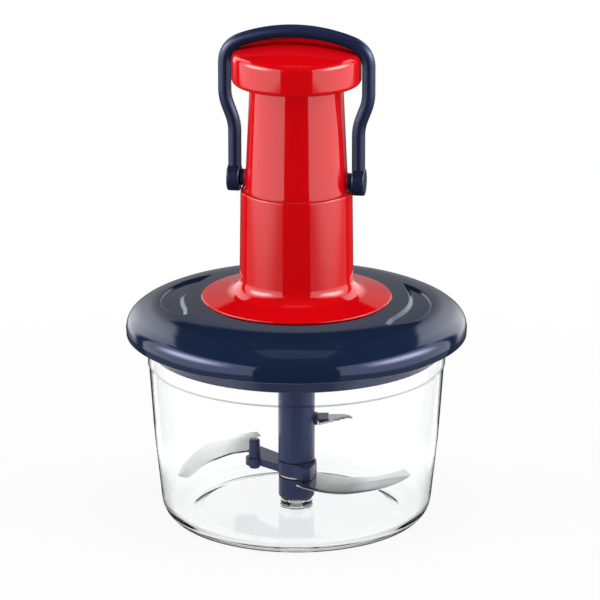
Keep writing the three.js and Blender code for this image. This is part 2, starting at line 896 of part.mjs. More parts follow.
function lidShell() {
  const under = lidSurface(lidWall).filter((_, i) => i % 2 === 1).reverse();
  const body = turned(
    [
      point(lidOpening, lidSeatTop),
      point(lidSeatRadius - seatGap, lidSeatTop),
      ...lidSurface(0),
      point(lidRadius - lidLipDraft, lidLipBottom),
      point(lidRadius - lidLipWall, lidLipBottom),
      ...under,
      point(lidSeatRadius - lidWall, lidSeatTop - lidWall),
      point(lidOpening, lidSeatTop - lidWall),
    ],
    wideSides,
  );
  const bosses = screwHoles(
    baseScrewCount,
    baseScrewCircle,
    baseBossRadius,
    baseFloorTop + seatGap,
    lidSeatTop - lidWall / 2,
    baseScrewTurn,
  );
  const shank = screwShank + seatGap;
  const columnHoles = screwHoles(
    columnScrewCount,
    columnScrewCircle,
    shank,
    baseFloorTop,
    columnBottom + cutOverrun,
    columnScrewTurn,
  );
  const baseHoles = screwHoles(
    baseScrewCount,
    baseScrewCircle,
    shank,
    baseFloorTop - cutOverrun,
    baseFloorTop + baseScrewReach,
    baseScrewTurn,
  );
  const recesses = [lidRecessCutter(1), lidRecessCutter(-1)];
  return without(withAll(body, bosses), [...columnHoles, ...baseHoles, ...recesses]);
}

// Column
const boreMouth = neckRadius + runGap;
const boreRadius = boreMouth + boreStep;

function column() {
  const body = turned(
    [
      point(boreRadius, columnBottom),
      point(flangeRadius - columnRimRound, columnBottom),
      point(flangeRadius, columnBottom + columnRimRound),
      point(flangeRadius, columnBottom + flangeEdge - columnRimRound),
      point(flangeRadius - columnRimRound, columnBottom + flangeEdge),
      ...arc(
        columnFootRadius + columnFilletRadius,
        columnFilletTop,
        columnFilletRadius,
        270,
        180,
        arcSteps + 1,
        columnFilletTop - columnBottom - flangeEdge - flangeRise,
      ),
      point(columnRimRadius, columnTop - columnRimRound),
      point(columnRimRadius - columnRimCorner, columnTop - columnRimCorner),
      point(columnRimRadius - columnRimRound, columnTop),
      point(boreMouth, columnTop),
      point(boreMouth, columnTop - mouthLip),
      point(boreRadius, columnTop - mouthLip - boreStep),
    ],
    towerSides,
  );
  const holes = screwHoles(
    columnScrewCount,
    columnScrewCircle,
    screwShank + seatGap,
    columnBottom - cutOverrun,
    columnBottom + columnScrewDepth,
    columnScrewTurn,
  );
  return without(body, holes);
}

// Neck
function neck() {
  const discBottom = discTop - discThickness;
  const innerTop = neckTopRadius - neckWall;
  const inner = neckRadius - neckWall;
  const rodBore = rodHeadRadius + seatGap;
  const body = turned(
    [
      point(rodBore, discBottom - rodBossLength),
      point(rodBossRadius, discBottom - rodBossLength),
      point(rodBossRadius, discBottom - neckWall),
      point(innerTop, discBottom - neckWall),
      point(inner, neckTaperStart),
      point(inner, neckBottom),
      point(neckRadius + beadStep, neckBottom),
      point(neckRadius + beadStep, neckBottom + beadHeight - beadStep),
      point(neckRadius, neckBottom + beadHeight),
      point(neckRadius, neckTaperStart - seatGap),
      point(neckTopRadius, discBottom),
      point(discRadius, discBottom),
      point(discRadius, discTop),
      point(rodBore, discTop),
    ],
    towerSides,
  );
  const reach = pivotBossReach + cutOverrun;
  const lie = (part) => part.rotate([0, 90, 0]).translate([0, 0, pivotHeight]);
  const bossBar = lie(rod(pivotBossRadius, pivotBossInner, pivotBossReach));
  const hole = lie(rod(pivotRadius + runGap, -reach, reach));
  return body.add(bossBar).add(bossBar.mirror([1, 0, 0])).subtract(hole);
}

// Knob
function knobShell() {
  const bore = discRadius + runGap;
  const roundCentre = knobRadius - knobLowerRound;
  const shoulderCentre = knobRadius - knobShoulderRound;
  const turn = radians(knobRoundTurn);
  const crownStart = knobShoulder + knobShoulderRound * Math.sin(turn);
  const crownRadius = shoulderCentre + knobShoulderRound * Math.cos(turn);
  const steps = arcSteps - 1;
  const crown = new THREE.QuadraticBezierCurve(
    point(crownRadius, crownStart),
    point(crownRadius / 2, knobTop),
    point(0, knobTop),
  ).getPoints(arcSteps);
  return turned(
    [
      ...arc(roundCentre, knobBottom + knobLowerRound, knobLowerRound, -knobRoundTurn, 0, steps),
      ...arc(shoulderCentre, knobShoulder, knobShoulderRound, 0, knobRoundTurn, steps),
      ...crown.slice(1),
      point(0, knobTop - knobWall),
      point(shoulderCentre - knobWall, knobShoulder + knobShoulderRound - knobWall),
      point(bore - knobLedge, knobShoulder),
      point(bore - knobLedge, discTop + seatGap),
      point(bore, discTop + seatGap),
      point(bore, knobBottom + knobLowerRound * (1 - Math.sin(turn))),
    ],
    towerSides,
  );
}

// Bail: one half's path from the pivot up to the arch, then mirrored
function bailPath() {
  const arch = (x) => bailTop - archRadius + Math.sqrt(archRadius ** 2 - x ** 2);
  const cornerStart = bailUpperSpan - cornerRadius;
  const slope = -cornerStart / Math.sqrt(archRadius ** 2 - cornerStart ** 2);
  const corner = new THREE.Vector2(bailUpperSpan, arch(cornerStart) + slope * cornerRadius);
  const half = new THREE.Path();
  half.moveTo(bailLowerSpan, pivotCollarRadius + seatGap);
  half.lineTo(bailLowerSpan, bailStepLow - stepBend);
  const low = new THREE.Vector2(bailLowerSpan, bailStepLow);
  const high = new THREE.Vector2(bailUpperSpan, bailStepHigh);
  const bend = stepBend / low.distanceTo(high);
  const start = low.clone().lerp(high, bend);
  const end = high.clone().lerp(low, bend);
  half.quadraticCurveTo(low.x, low.y, start.x, start.y);
  half.lineTo(end.x, end.y);
  half.quadraticCurveTo(high.x, high.y, bailUpperSpan, bailStepHigh + stepBend);
  half.lineTo(bailUpperSpan, corner.y - cornerRadius);
  half.quadraticCurveTo(corner.x, corner.y, cornerStart, arch(cornerStart));
  const points = half.getSpacedPoints(bailLegSteps).map(({ x, y }) => new THREE.Vector3(x, 0, y));
  for (let i = 1; i <= bailArchSteps; i++) {
    const x = cornerStart * (1 - i / bailArchSteps);
    points.push(new THREE.Vector3(x, 0, arch(x)));
  }
  const mirrored = points.slice(0, -1).reverse().map(({ x, z }) => new THREE.Vector3(-x, 0, z));
  return new THREE.CatmullRomCurve3([...points, ...mirrored]);
}

function bail() {
  const section = new THREE.Shape().absarc(0, 0, bailTube, 0, 2 * Math.PI);
  const tube = solid(
    new THREE.ExtrudeGeometry(section, {
      steps: bailSteps,
      curveSegments: bailSides / 2,
      extrudePath: bailPath(),
      bevelEnabled: false,
    }),
  );
  const outer = eyeInner + eyeThickness;
  const eye = turned(
    [
      point(0, eyeInner),
      point(eyeRadius - eyeRound, eyeInner),
      point(eyeRadius, eyeInner + eyeRound),
      point(eyeRadius, outer - eyeRound),
      point(eyeRadius - eyeRound, outer),
      point(dimpleRadius, outer),
      point(0, outer - dimpleDepth),
    ],
    smallSides,
  );
  const bore = rod(pivotRadius + seatGap, eyeInner - cutOverrun * 2, outer - eyeCap);
  const sides = [1, -1].map((side) => {
    const lie = (part) => part.rotate([0, 90 * side, 0]);
    return { eye: lie(eye), bore: lie(bore) };
  });
  const joined = withAll(tube, sides.map((side) => side.eye));
  return without(joined, sides.map((side) => side.bore)).translate([0, 0, pivotHeight]);
}

function pivotPin(side) {
  const headFace = pivotBossInner - seatGap;
  const end = eyeInner + eyeThickness - eyeCap - seatGap;
  const pin = rod(pivotRadius, headFace - pivotHead, end)
    .add(rod(pivotHeadRadius, headFace - pivotHead, headFace))
    .add(rod(pivotCollarRadius, pivotBossReach + seatGap, eyeInner - seatGap));
  return pin.rotate([0, 90 * side, 0]).translate([0, 0, pivotHeight]);
}

// Return spring: one unbroken wire wound around the rod between the drive cover and the neck's disc
function returnSpring() {
  const bottom = coverTop + seatGap + springWire;
  const top = discTop - discThickness - neckWall - seatGap - springWire;
  const steps = springCurls * curlSteps;
  const rise = (top - bottom) / steps;
  const places = [];
  for (let i = 0; i <= steps; i++) {
    const turn = (i / curlSteps) * 2 * Math.PI;
    const out = new THREE.Vector3(Math.cos(turn), Math.sin(turn), 0);
    const centre = out.clone().multiplyScalar(springRadius).setZ(bottom + rise * i);
    for (let k = 0; k < wireSides; k++) {
      const angle = (k / wireSides) * 2 * Math.PI;
      const place = centre.clone().addScaledVector(out, springWire * Math.cos(angle));
      place.z += springWire * Math.sin(angle);
      places.push(...place);
    }
  }
  const faces = [];
  for (let i = 0; i < steps; i++) {
    for (let k = 0; k < wireSides; k++) {
      const a = i * wireSides + k;
      const b = i * wireSides + ((k + 1) % wireSides);
      faces.push(a, a + wireSides, b, b, a + wireSides, b + wireSides);
    }
  }
  const last = steps * wireSides;
  for (let k = 1; k < wireSides - 1; k++) {
    faces.push(0, k, k + 1);
    faces.push(last, last + k + 1, last + k);
  }
  const geometry = new THREE.BufferGeometry();
  geometry.setAttribute("position", new THREE.Float32BufferAttribute(places, 3));
  geometry.setIndex(faces);
  console.log("spring: least gap between curls", (rise * curlSteps - 2 * springWire).toFixed(2), "mm");
  return solid(geometry);
}

// A screw whose shank points up from its head's face, or down where up is -1
function screw(headFace, reach, up) {
  return turned(
    [
      point(0, headFace - up * screwHead),
      point(screwHeadRadius, headFace - up * screwHead),
      point(screwHeadRadius, headFace),
      point(screwShank, headFace),
      point(screwShank, headFace + up * reach),
      point(0, headFace + up * reach),
    ],
    tinySides,
  );
}

function screws(name, count, circle, turn, headFace, reach, up) {
  return around(count, circle, turn).map(([x, y], i) => {
    return piece(`${name}_${i + 1}`, screw(headFace, reach, up).translate([x, y, 0]), steel);
  });
}

// Assembly
const columnScrewFace = lidSeatTop - lidWall - seatGap;
const chopper = new THREE.Group();

const bowlGroup = new THREE.Group();
bowlGroup.add(piece("bowl", bowl(), clear), piece("bowl_pin", bowlPin(), steel));

const bladeUnit = new THREE.Group();
bladeUnit.rotation.z = radians(bladeTurn);
bladeUnit.add(
  piece("blade_shaft", bladeShaft(), satinNavy),
  piece("shaft_foot", shaftFoot(), satinNavy),
  piece("lower_blade", lowerBlade(), steel),
  piece("blade_arm", bladeArm(), satinNavy),
  piece("middle_blade", middleBlade(), steel),
  piece("blade_socket", bladeSocket(), satinNavy),
  piece("upper_blade", upperBlade(), steel),
);

const lidGroup = new THREE.Group();
lidGroup.add(
  piece("lid_shell", lidShell(), navy),
  piece("lid_base", lidBase(), satinNavy),
  piece("lid_seal", lidSeal(), rubber),
  piece("pump_column", column(), red),
  piece("drive_cover", driveCover(), nylon),
  ...screws(
    "column_screw",
    columnScrewCount,
    columnScrewCircle,
    columnScrewTurn,
    columnScrewFace,
    columnBottom + columnScrewDepth - seatGap - columnScrewFace,
    1,
  ),
  ...screws(
    "base_screw",
    baseScrewCount,
    baseScrewCircle,
    baseScrewTurn,
    baseFloorBottom - seatGap,
    baseFloor + baseScrewReach,
    1,
  ),
  ...screws(
    "cover_screw",
    coverScrewCount,
    coverScrewCircle,
    coverScrewTurn,
    baseHubTop + coverFoot + 2 * seatGap,
    coverFoot + coverScrewReach,
    -1,
  ),
);

const driveGroup = new THREE.Group();
driveGroup.rotation.z = radians(bladeTurn);
driveGroup.add(
  piece("drive_nut", driveNut(), nylon),
  piece("drive_coupler", driveCoupler(), satinNavy),
  piece("coupler_clip", couplerClip(), steel),
);

const pumpGroup = new THREE.Group();
const rodGroup = new THREE.Group();
rodGroup.rotation.z = radians(bladeTurn);
rodGroup.add(piece("twist_rod", twistRod(), steel));
pumpGroup.add(
  rodGroup,
  piece("neck", neck(), red),
  piece("knob_shell", knobShell(), red),
  piece("rod_washer", rodWasher(), steel),
  piece("rod_screw", rodScrew(), steel),
  piece("return_spring", returnSpring(), steel),
);

const bailGroup = new THREE.Group();
bailGroup.add(
  piece("bail", bail(), navy),
  piece("right_pivot_pin", pivotPin(1), satinNavy),
  piece("left_pivot_pin", pivotPin(-1), satinNavy),
);

chopper.add(bowlGroup, bladeUnit, lidGroup, driveGroup, pumpGroup, bailGroup);

export default chopper;
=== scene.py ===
"""Hand press vegetable chopper: finishes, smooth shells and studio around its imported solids.

Metres, +Z up. The origin is the centre of the bowl's foot ring, on the surface it stands on, and the
carry bail lies in the XZ plane.
"""

import logging
import math
from collections.abc import Callable, Iterable, Sequence
from dataclasses import dataclass, field
from enum import Enum
from typing import Any

import bmesh
import bpy
from mathutils import Matrix, Vector


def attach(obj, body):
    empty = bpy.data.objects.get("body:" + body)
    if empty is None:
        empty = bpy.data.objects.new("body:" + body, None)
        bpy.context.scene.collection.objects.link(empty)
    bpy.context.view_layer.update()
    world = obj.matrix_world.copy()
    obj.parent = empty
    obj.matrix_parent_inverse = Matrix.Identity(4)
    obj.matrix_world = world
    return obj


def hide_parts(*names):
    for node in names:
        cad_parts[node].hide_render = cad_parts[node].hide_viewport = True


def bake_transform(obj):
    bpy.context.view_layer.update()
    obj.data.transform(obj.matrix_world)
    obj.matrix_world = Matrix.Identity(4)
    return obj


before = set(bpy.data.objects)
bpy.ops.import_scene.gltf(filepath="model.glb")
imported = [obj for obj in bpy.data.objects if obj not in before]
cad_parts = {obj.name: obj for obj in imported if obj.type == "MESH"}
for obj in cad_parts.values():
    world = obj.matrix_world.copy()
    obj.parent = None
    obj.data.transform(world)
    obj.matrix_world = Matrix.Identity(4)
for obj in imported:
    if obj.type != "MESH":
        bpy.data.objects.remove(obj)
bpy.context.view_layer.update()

log = logging.getLogger("chopper")

Flat = tuple[float, float]
Span = Flat  # first and last value of a range
Triple = tuple[float, float, float]
Corner = Triple  # radius, height and rounding of a profile's corner
Colour = Triple

ROUND_STEPS = 6  # pieces of each rounded corner
SUPPORT = 0.0004  # where a straight stretch gets a point beside a round, so that it shades flat
SUPPORT_ROOM = 3 * SUPPORT  # straight stretch that has room for such a point
ROUND_SHARE = 0.48  # most that a round takes of the stretch beside it
ROUND_ANGLES = (math.radians(1), math.radians(89.5))  # half angles that a corner is rounded between
SHARP_ANGLE = math.radians(38)
SIDES = 160
SHAFT_SIDES = 96
EYE_SIDES = 72
SMALL_SIDES = 48
TINY = 1e-7
BLADE_TURN = math.radians(9)  # turn of the blade unit about the shaft at rest


class Body(Enum):
    """Rigid bodies that pieces ride on."""

    BOWL = "bowl"
    LID = "lid"
    PUMP = "pump"
    BAIL = "bail"
    BLADES = "blades"


class Slot(Enum):
    """Material slots of the part's record."""

    CLEAR = "clear_plastic"
    RED = "red_plastic"
    BLUE = "blue_plastic"
    SATIN_BLUE = "satin_blue_plastic"
    WHITE = "white_plastic"
    BLADE = "blade_steel"
    STEEL = "steel"
    SEAL = "seal_rubber"


def linear(red: int, green: int, blue: int) -> Colour:
    """Turns a display colour from 0 to 255 into the shader's linear one."""
    shares = (channel / 255 for channel in (red, green, blue))
    return tuple(s / 12.92 if s <= 0.04045 else ((s + 0.055) / 1.055) ** 2.4 for s in shares)


def darker(colour: Colour, share: float) -> Colour:
    """A share of a colour."""
    return tuple(channel * share for channel in colour)


# Shader graphs


class Signal:
    """A value in a shader graph, with the arithmetic that adds its Math nodes."""

    def __init__(self, graph: "Graph", socket: bpy.types.NodeSocket) -> None:
        """Wraps an output socket of the graph."""
        self.graph = graph
        self.socket = socket

    def _math(self, operation: str, first: Any, second: Any = None) -> "Signal":
        """Adds one Math node on its terms."""
        return self.graph.signal("ShaderNodeMath", "Value", {"operation": operation}, {0: first, 1: second})

    def __add__(self, other: Any) -> "Signal":
        """Sum of two terms."""
        return self._math("ADD", self, other)

    __radd__ = __add__

    def __sub__(self, other: Any) -> "Signal":
        """Difference of two terms."""
        return self._math("SUBTRACT", self, other)

    def __rsub__(self, other: Any) -> "Signal":
        """Difference with the number on the left."""
        return self._math("SUBTRACT", other, self)

    def __mul__(self, other: Any) -> "Signal":
        """Product of two terms."""
        return self._math("MULTIPLY", self, other)

    __rmul__ = __mul__

    def __truediv__(self, other: Any) -> "Signal":
        """Quotient of two terms."""
        return self._math("DIVIDE", self, other)

    def larger(self, other: Any) -> "Signal":
        """The larger of two terms."""
        return self._math("MAXIMUM", self, other)

    def size(self) -> "Signal":
        """The value without its sign."""
        return self.larger(0 - self)

    def root(self) -> "Signal":
        """The square root."""
        return self._math("SQRT", self)

    def between(self, first: Any, second: Any) -> "Signal":
        """The first term where this is 0 and the second where it is 1."""
        return first + self * (second - first)

    def ramp(self, span: Span, low: float = 0.0, high: float = 1.0) -> "Signal":
        """Smooth step from one value to another.

        Args:
            span: Values at which the step begins and ends.
            low: Result before the step.
            high: Result after it.

        Returns:
            The stepped value.
        """
        start, end = span
        settings = {"interpolation_type": "SMOOTHSTEP"}
        values = {"Value": self, "From Min": start, "From Max": end, "To Min": low, "To Max": high}
        return self.graph.signal("ShaderNodeMapRange", "Result", settings, values)


@dataclass(frozen=True)
class Rays:
    """Kinds of ray, each 0 or 1."""

    seen: Signal  # from the camera
    glossy: Signal  # mirrored
    clear: Signal  # through clear plastic, or mirrored inside it
    turned: Signal  # has been mirrored on its way


class Graph:
    """A node tree that is written as expressions."""

    def __init__(self, tree: bpy.types.NodeTree) -> None:
        """Takes the node tree of a material or a world, and empties it."""
        self.tree = tree
        tree.nodes.clear()

    def node(
        self, kind: str, settings: dict[str, Any] | None = None, values: dict[Any, Any] | None = None
    ) -> bpy.types.Node:
        """Adds one node.

        Args:
            kind: The node's type.
            settings: Properties that are set first.
            values: Numbers, colours, signals or sockets of its inputs, by name or number.

        Returns:
            The new node.
        """
        made = self.tree.nodes.new(kind)
        for name, value in (settings or {}).items():
            setattr(made, name, value)
        for name, value in (values or {}).items():
            if isinstance(value, Signal):
                value = value.socket
            if isinstance(value, bpy.types.NodeSocket):
                self.tree.links.new(value, made.inputs[name])
            elif value is not None:
                made.inputs[name].default_value = value
        return made

    def signal(
        self,
        kind: str,
        output: str,
        settings: dict[str, Any] | None = None,
        values: dict[Any, Any] | None = None,
    ) -> Signal:
        """Adds one node and wraps one of its outputs."""
        return Signal(self, self.node(kind, settings, values).outputs[output])

    def rays(self) -> Rays:
        """The kinds of ray that the shader can tell apart."""
        path = self.node("ShaderNodeLightPath").outputs
        kinds = (f"Is {kind} Ray" for kind in ("Camera", "Glossy", "Transmission", "Singular"))
        seen, glossy, through, sharp = (Signal(self, path[kind]) for kind in kinds)
        depths = (Signal(self, path[f"{kind} Depth"]) for kind in ("Transmission", "Glossy"))
        passed, mirrored = (depth.ramp((0.0, 1.0)) for depth in depths)
        return Rays(seen, glossy, through.larger(sharp * passed), mirrored)

    def place(self) -> bpy.types.NodeSocket:
        """Place on the piece in its own coordinates."""
        return self.node("ShaderNodeTexCoord").outputs["Object"]

    def axes(self, vector: bpy.types.NodeSocket) -> tuple[Signal, Signal, Signal]:
        """The three parts of a vector."""
        parts = self.node("ShaderNodeSeparateXYZ", None, {0: vector}).outputs
        return Signal(self, parts[0]), Signal(self, parts[1]), Signal(self, parts[2])

    def noise(self, scale: float | Triple, detail: float) -> Signal:
        """Noise from 0 to 1 over the piece.

        Args:
            scale: Waves per metre, alike or along each axis.
            detail: Number of finer layers.

        Returns:
            The noise.
        """
        vector = self.place()
        if isinstance(scale, tuple):
            vector = self.node("ShaderNodeMapping", None, {"Vector": vector, "Scale": scale}).outputs[0]
            scale = 1.0
        values = {"Vector": vector, "Scale": scale, "Detail": detail}
        return self.signal("ShaderNodeTexNoise", "Fac", {"noise_dimensions": "3D"}, values)

    def tinted(
        self, amount: Signal, first: Colour | bpy.types.NodeSocket, second: Colour
    ) -> bpy.types.NodeSocket:
        """Colour between two linear colours, by the share of the second."""
        if isinstance(first, tuple):
            first = (*first, 1.0)
        values = {0: amount, 6: first, 7: (*second, 1.0)}
        return self.node("ShaderNodeMix", {"data_type": "RGBA"}, values).outputs[2]

    def bump(
        self, height: Signal, depth: float, normal: bpy.types.NodeSocket | None = None
    ) -> bpy.types.NodeSocket:
        """Normal bent by a height in shares of a depth in metres."""
        values = {"Height": height, "Distance": depth, "Normal": normal}
        return self.node("ShaderNodeBump", None, values).outputs[0]

    def mixed(self, amount: Any, first: bpy.types.Node, second: bpy.types.Node) -> bpy.types.Node:
        """Mix of two shaders by the share of the second."""
        values = {0: amount, 1: first.outputs[0], 2: second.outputs[0]}
        return self.node("ShaderNodeMixShader", None, values)

    def show(self, shader: bpy.types.Node, kind: str = "ShaderNodeOutputMaterial") -> None:
        """Links a shader to the output."""
        self.node(kind, None, {"Surface": shader.outputs[0]})


def new_graph(name: str) -> tuple[bpy.types.Material, Graph]:
    """Makes an empty node material and its graph."""
    material = bpy.data.materials.new(name)
    material.use_nodes = True
    return material, Graph(material.node_tree)


# Finishes


@dataclass(frozen=True)
class MouldedPlastic:
    """Moulded plastic with a faint flow pattern, fine grain and the gloss of its tool."""

    name: str
    slot: Slot
    colour: Colour
    flow_share: float = 0.94  # colour of the flow lines, as a share of the plain colour
    flow_scale: float = 34.0
    flow_detail: float = 3.0
    roughness: float = 0.1
    roughness_spread: float = 0.03
    grain_scale: float = 2600.0
    grain_depth: float = 0.000004
    gloss: float = 0.5  # specular level
    gloss_colour: Colour = (1.0, 1.0, 1.0)

    def material(self) -> bpy.types.Material:
        """Builds the finish."""
        material, graph = new_graph(self.name)
        flow = graph.noise(self.flow_scale, self.flow_detail)
        values = {
            "Base Color": graph.tinted(flow, self.colour, darker(self.colour, self.flow_share)),
            "Roughness": self.roughness + (flow - 0.5) * self.roughness_spread,
            "Specular IOR Level": self.gloss,
            "Specular Tint": (*self.gloss_colour, 1.0),
            "Normal": graph.bump(graph.noise(self.grain_scale, 1.0), self.grain_depth),
        }
        graph.show(graph.node("ShaderNodeBsdfPrincipled", None, values))
        return material


@dataclass(frozen=True)
class ClearPlastic:
    """Clear moulded plastic that lets shadow rays through, with painted shade along the edge of the rim band.
    """

    name: str = "clear bowl plastic"
    slot: Slot = Slot.CLEAR
    colour: Colour = (0.985, 0.988, 0.988)
    deep_colour: Colour = (0.965, 0.972, 0.974)
    wave_scale: float = 26.0
    wave_depth: float = 0.00003
    ior: float = 1.3
    # painted shade: a dark line painted into the colour at the rim band's step, standing in for the step's
    # dark refraction
    shade_line_height: float = 0.0778
    shade_line_fade: Span = (0.0002, 0.0004)  # distances from the painted shade line
    shade_line_colour: Colour = (0.3, 0.3, 0.32)
    shadow_colour: Colour = (0.97, 0.97, 0.97)

    def material(self) -> bpy.types.Material:
        """Builds the finish."""
        material, graph = new_graph(self.name)
        wave = graph.noise(self.wave_scale, 1.0)
        _, _, z = graph.axes(graph.place())
        # painted shade: the colour turns dark grey in a thin band at the step's height
        line = (z - self.shade_line_height).size().ramp(self.shade_line_fade, 1.0, 0.0)
        plain = graph.tinted(wave, self.colour, self.deep_colour)
        values = {
            "Base Color": graph.tinted(line, plain, self.shade_line_colour),
            "Roughness": 0.0,
            "IOR": self.ior,
            "Transmission Weight": 1.0,
            "Normal": graph.bump(wave, self.wave_depth),
        }
        clear = graph.node("ShaderNodeBsdfPrincipled", None, values)
        open_way = graph.node("ShaderNodeBsdfTransparent", None, {0: (*self.shadow_colour, 1.0)})
        shadow = graph.signal("ShaderNodeLightPath", "Is Shadow Ray")
        graph.show(graph.mixed(shadow, clear, open_way))
        return material


@dataclass(frozen=True)
class BrushedSteel:
    """Rolled stainless steel with fine brushing and a slight wave, its colour painted lighter far from the
    shaft as a painted sheen.
    """

    name: str
    slot: Slot
    colour: Colour = (0.79, 0.79, 0.785)
    painted_sheen_colour: Colour = (0.79, 0.79, 0.785)
    far: Span = (0.028, 0.04)  # distances from the shaft, left or right, over which the painted sheen lightens the colour
    dark_share: float = 0.9
    roughness: float = 0.2
    roughness_spread: float = 0.12
    brush_scale: Triple = (60.0, 2600.0, 60.0)
    brush_depth: float = 0.000003
    wave_scale: Triple = (34.0, 7.0, 7.0)
    wave_depth: float = 0.006

    def material(self) -> bpy.types.Material:
        """Builds the finish."""
        material, graph = new_graph(self.name)
        brush = graph.noise(self.brush_scale, 2.0)
        wave = graph.noise(self.wave_scale, 0.0)
        x, _, _ = graph.axes(graph.place())
        near = graph.tinted(brush, self.colour, darker(self.colour, self.dark_share))
        values = {
            # painted sheen: the colour lightens away from the shaft
            "Base Color": graph.tinted(x.size().ramp(self.far), near, self.painted_sheen_colour),
            "Metallic": 1.0,
            "Roughness": self.roughness + (brush - 0.5) * self.roughness_spread,
            "Normal": graph.bump(brush, self.brush_depth, graph.bump(wave, self.wave_depth)),
        }
        graph.show(graph.node("ShaderNodeBsdfPrincipled", None, values))
        return material


Finish = MouldedPlastic | ClearPlastic | BrushedSteel

BLUE_GLOSS = (0.6, 0.65, 1.0)
SATIN_GRAIN = 0.000008
RED = MouldedPlastic("red gloss plastic", Slot.RED, linear(217, 6, 15), roughness=0.07)
BLUE = MouldedPlastic(
    "dark blue gloss plastic", Slot.BLUE, linear(24, 37, 62), roughness=0.075, gloss_colour=BLUE_GLOSS
)
BAIL_BLUE = MouldedPlastic(
    "dark blue bail plastic",
    Slot.BLUE,
    linear(30, 39, 67),
    roughness=0.27,
    grain_depth=SATIN_GRAIN,
    gloss_colour=BLUE_GLOSS,
)
SATIN_BLUE = MouldedPlastic(
    "satin blue plastic",
    Slot.SATIN_BLUE,
    linear(42, 50, 82),
    roughness=0.24,
    grain_depth=SATIN_GRAIN,
    gloss=0.28,
    gloss_colour=BLUE_GLOSS,
)
WHITE = MouldedPlastic("white nylon", Slot.WHITE, linear(232, 230, 222), roughness=0.42)
SEAL = MouldedPlastic("seal rubber", Slot.SEAL, linear(214, 217, 219), roughness=0.55)
CLEAR = ClearPlastic()
# painted sheen: blade colour darker near the shaft and lighter towards the tips
BLADE_STEEL = BrushedSteel("blade steel", Slot.BLADE, (0.6, 0.6, 0.595), (0.95, 0.95, 0.945))
NOTCHED_STEEL = BrushedSteel("notched blade steel", Slot.BLADE, (0.34, 0.34, 0.33))
PIN_STEEL = BrushedSteel("plain steel", Slot.STEEL, roughness=0.3, wave_depth=0.0)

_made: dict[str, bpy.types.Material] = {}


def material_of(finish: Finish) -> bpy.types.Material:
    """The one material of a finish, made when first asked for."""
    if finish.name not in _made:
        _made[finish.name] = finish.material()
    return _made[finish.name]


# Profiles and outlines


def arc(
    r: float, z: float, radius: float, angles: Span, steps: int, height: float | None = None
) -> list[Corner]:
    """Points of a circular or elliptical arc in a profile.

    Args:
        r: Radius of the arc's centre from the axis.
        z: Height of the centre.
        radius: Reach of the arc across.
        angles: First and last angle in degrees.
        steps: Number of pieces.
        height: Reach of the arc up, or nothing for a circle.

    Returns:
        The corners.
    """
    up = radius if height is None else height
    start, end = angles
    turns = [math.radians(start + (end - start) * i / steps) for i in range(steps + 1)]
    return [(r + radius * math.cos(a), z + up * math.sin(a), 0.0) for a in turns]


def rounded(corners: Sequence[Corner]) -> list[Flat]:
    """Lays arcs into a closed profile's corners, with a support point beside each.

    Args:
        corners: Corners with the radius of their rounding.

    Returns:
        The finer profile.
    """
    result: list[Flat] = []
    for i, (x, y, radius) in enumerate(corners):
        here = Vector((x, y))
        back = Vector(corners[i - 1][:2]) - here
        on = Vector(corners[(i + 1) % len(corners)][:2]) - here
        half = back.angle(on) / 2 if radius > 0 and min(back.length, on.length) >= TINY else 0.0
        if not ROUND_ANGLES[0] <= half <= ROUND_ANGLES[1]:
            result.append((x, y))
            continue
        reach = min(radius / math.tan(half), ROUND_SHARE * back.length, ROUND_SHARE * on.length)
        radius = reach * math.tan(half)
        back_way, on_way = back.normalized(), on.normalized()
        centre = here + (back_way + on_way).normalized() * (radius / math.sin(half))
        first, last = here + back_way * reach - centre, here + on_way * reach - centre
        turn = math.atan2(first.x * last.y - first.y * last.x, first.dot(last))
        if back.length - reach > SUPPORT_ROOM:
            result.append(tuple(here + back_way * (reach + SUPPORT)))
        for k in range(ROUND_STEPS + 1):
            angle = turn * k / ROUND_STEPS
            c, s = math.cos(angle), math.sin(angle)
            result.append((centre.x + first.x * c - first.y * s, centre.y + first.x * s + first.y * c))
        if on.length - reach > SUPPORT_ROOM:
            result.append(tuple(here + on_way * (reach + SUPPORT)))
    return result


def eased(t: float, first: Any, last: Any, pull: Any, push: Any) -> Any:
    """Value or point at a share of the way between two, with the slopes at both."""
    return (
        first * (2 * t**3 - 3 * t**2 + 1)
        + last * (3 * t**2 - 2 * t**3)
        + pull * (t**3 - 2 * t**2 + t)
        + push * (t**3 - t**2)
    )


def curve(points: Sequence[Flat], steps: int) -> list[Flat]:
    """Smooth curve through points, with a number of pieces between each two of them."""
    result: list[Flat] = []
    last = len(points) - 1
    for i in range(last):
        a, b = Vector(points[max(i - 1, 0)]), Vector(points[i])
        c, d = Vector(points[i + 1]), Vector(points[min(i + 2, last)])
        pull, push = (c - a) * 0.5, (d - b) * 0.5
        result += [tuple(eased(k / steps, b, c, pull, push)) for k in range(steps)]
    result.append(tuple(points[last]))
    return result


def bent(first: Flat, corner: Flat, last: Flat, steps: int) -> list[Flat]:
    """Points of a bend that leaves one place towards a corner and ends at another."""
    shares = [k / steps for k in range(steps + 1)]
    parts = [((1 - t) ** 2, 2 * t * (1 - t), t**2) for t in shares]
    return [tuple(a * p + b * q + c * r for a, b, c in zip(first, corner, last)) for p, q, r in parts]


def scaled(shares: Sequence[Flat], size: float) -> list[Flat]:
    """Outline shares times a size."""
    return [(x * size, y * size) for x, y in shares]


def smooth(value: float) -> float:
    """Smooth step of a value that is kept between 0 and 1."""
    t = min(1.0, max(0.0, value))
    return t * t * (3 - 2 * t)


# Meshes


def placed(name: str, data: Any) -> bpy.types.Object:
    """Puts an object with its data into the scene."""
    made = bpy.data.objects.new(name, data)
    bpy.context.scene.collection.objects.link(made)
    return made


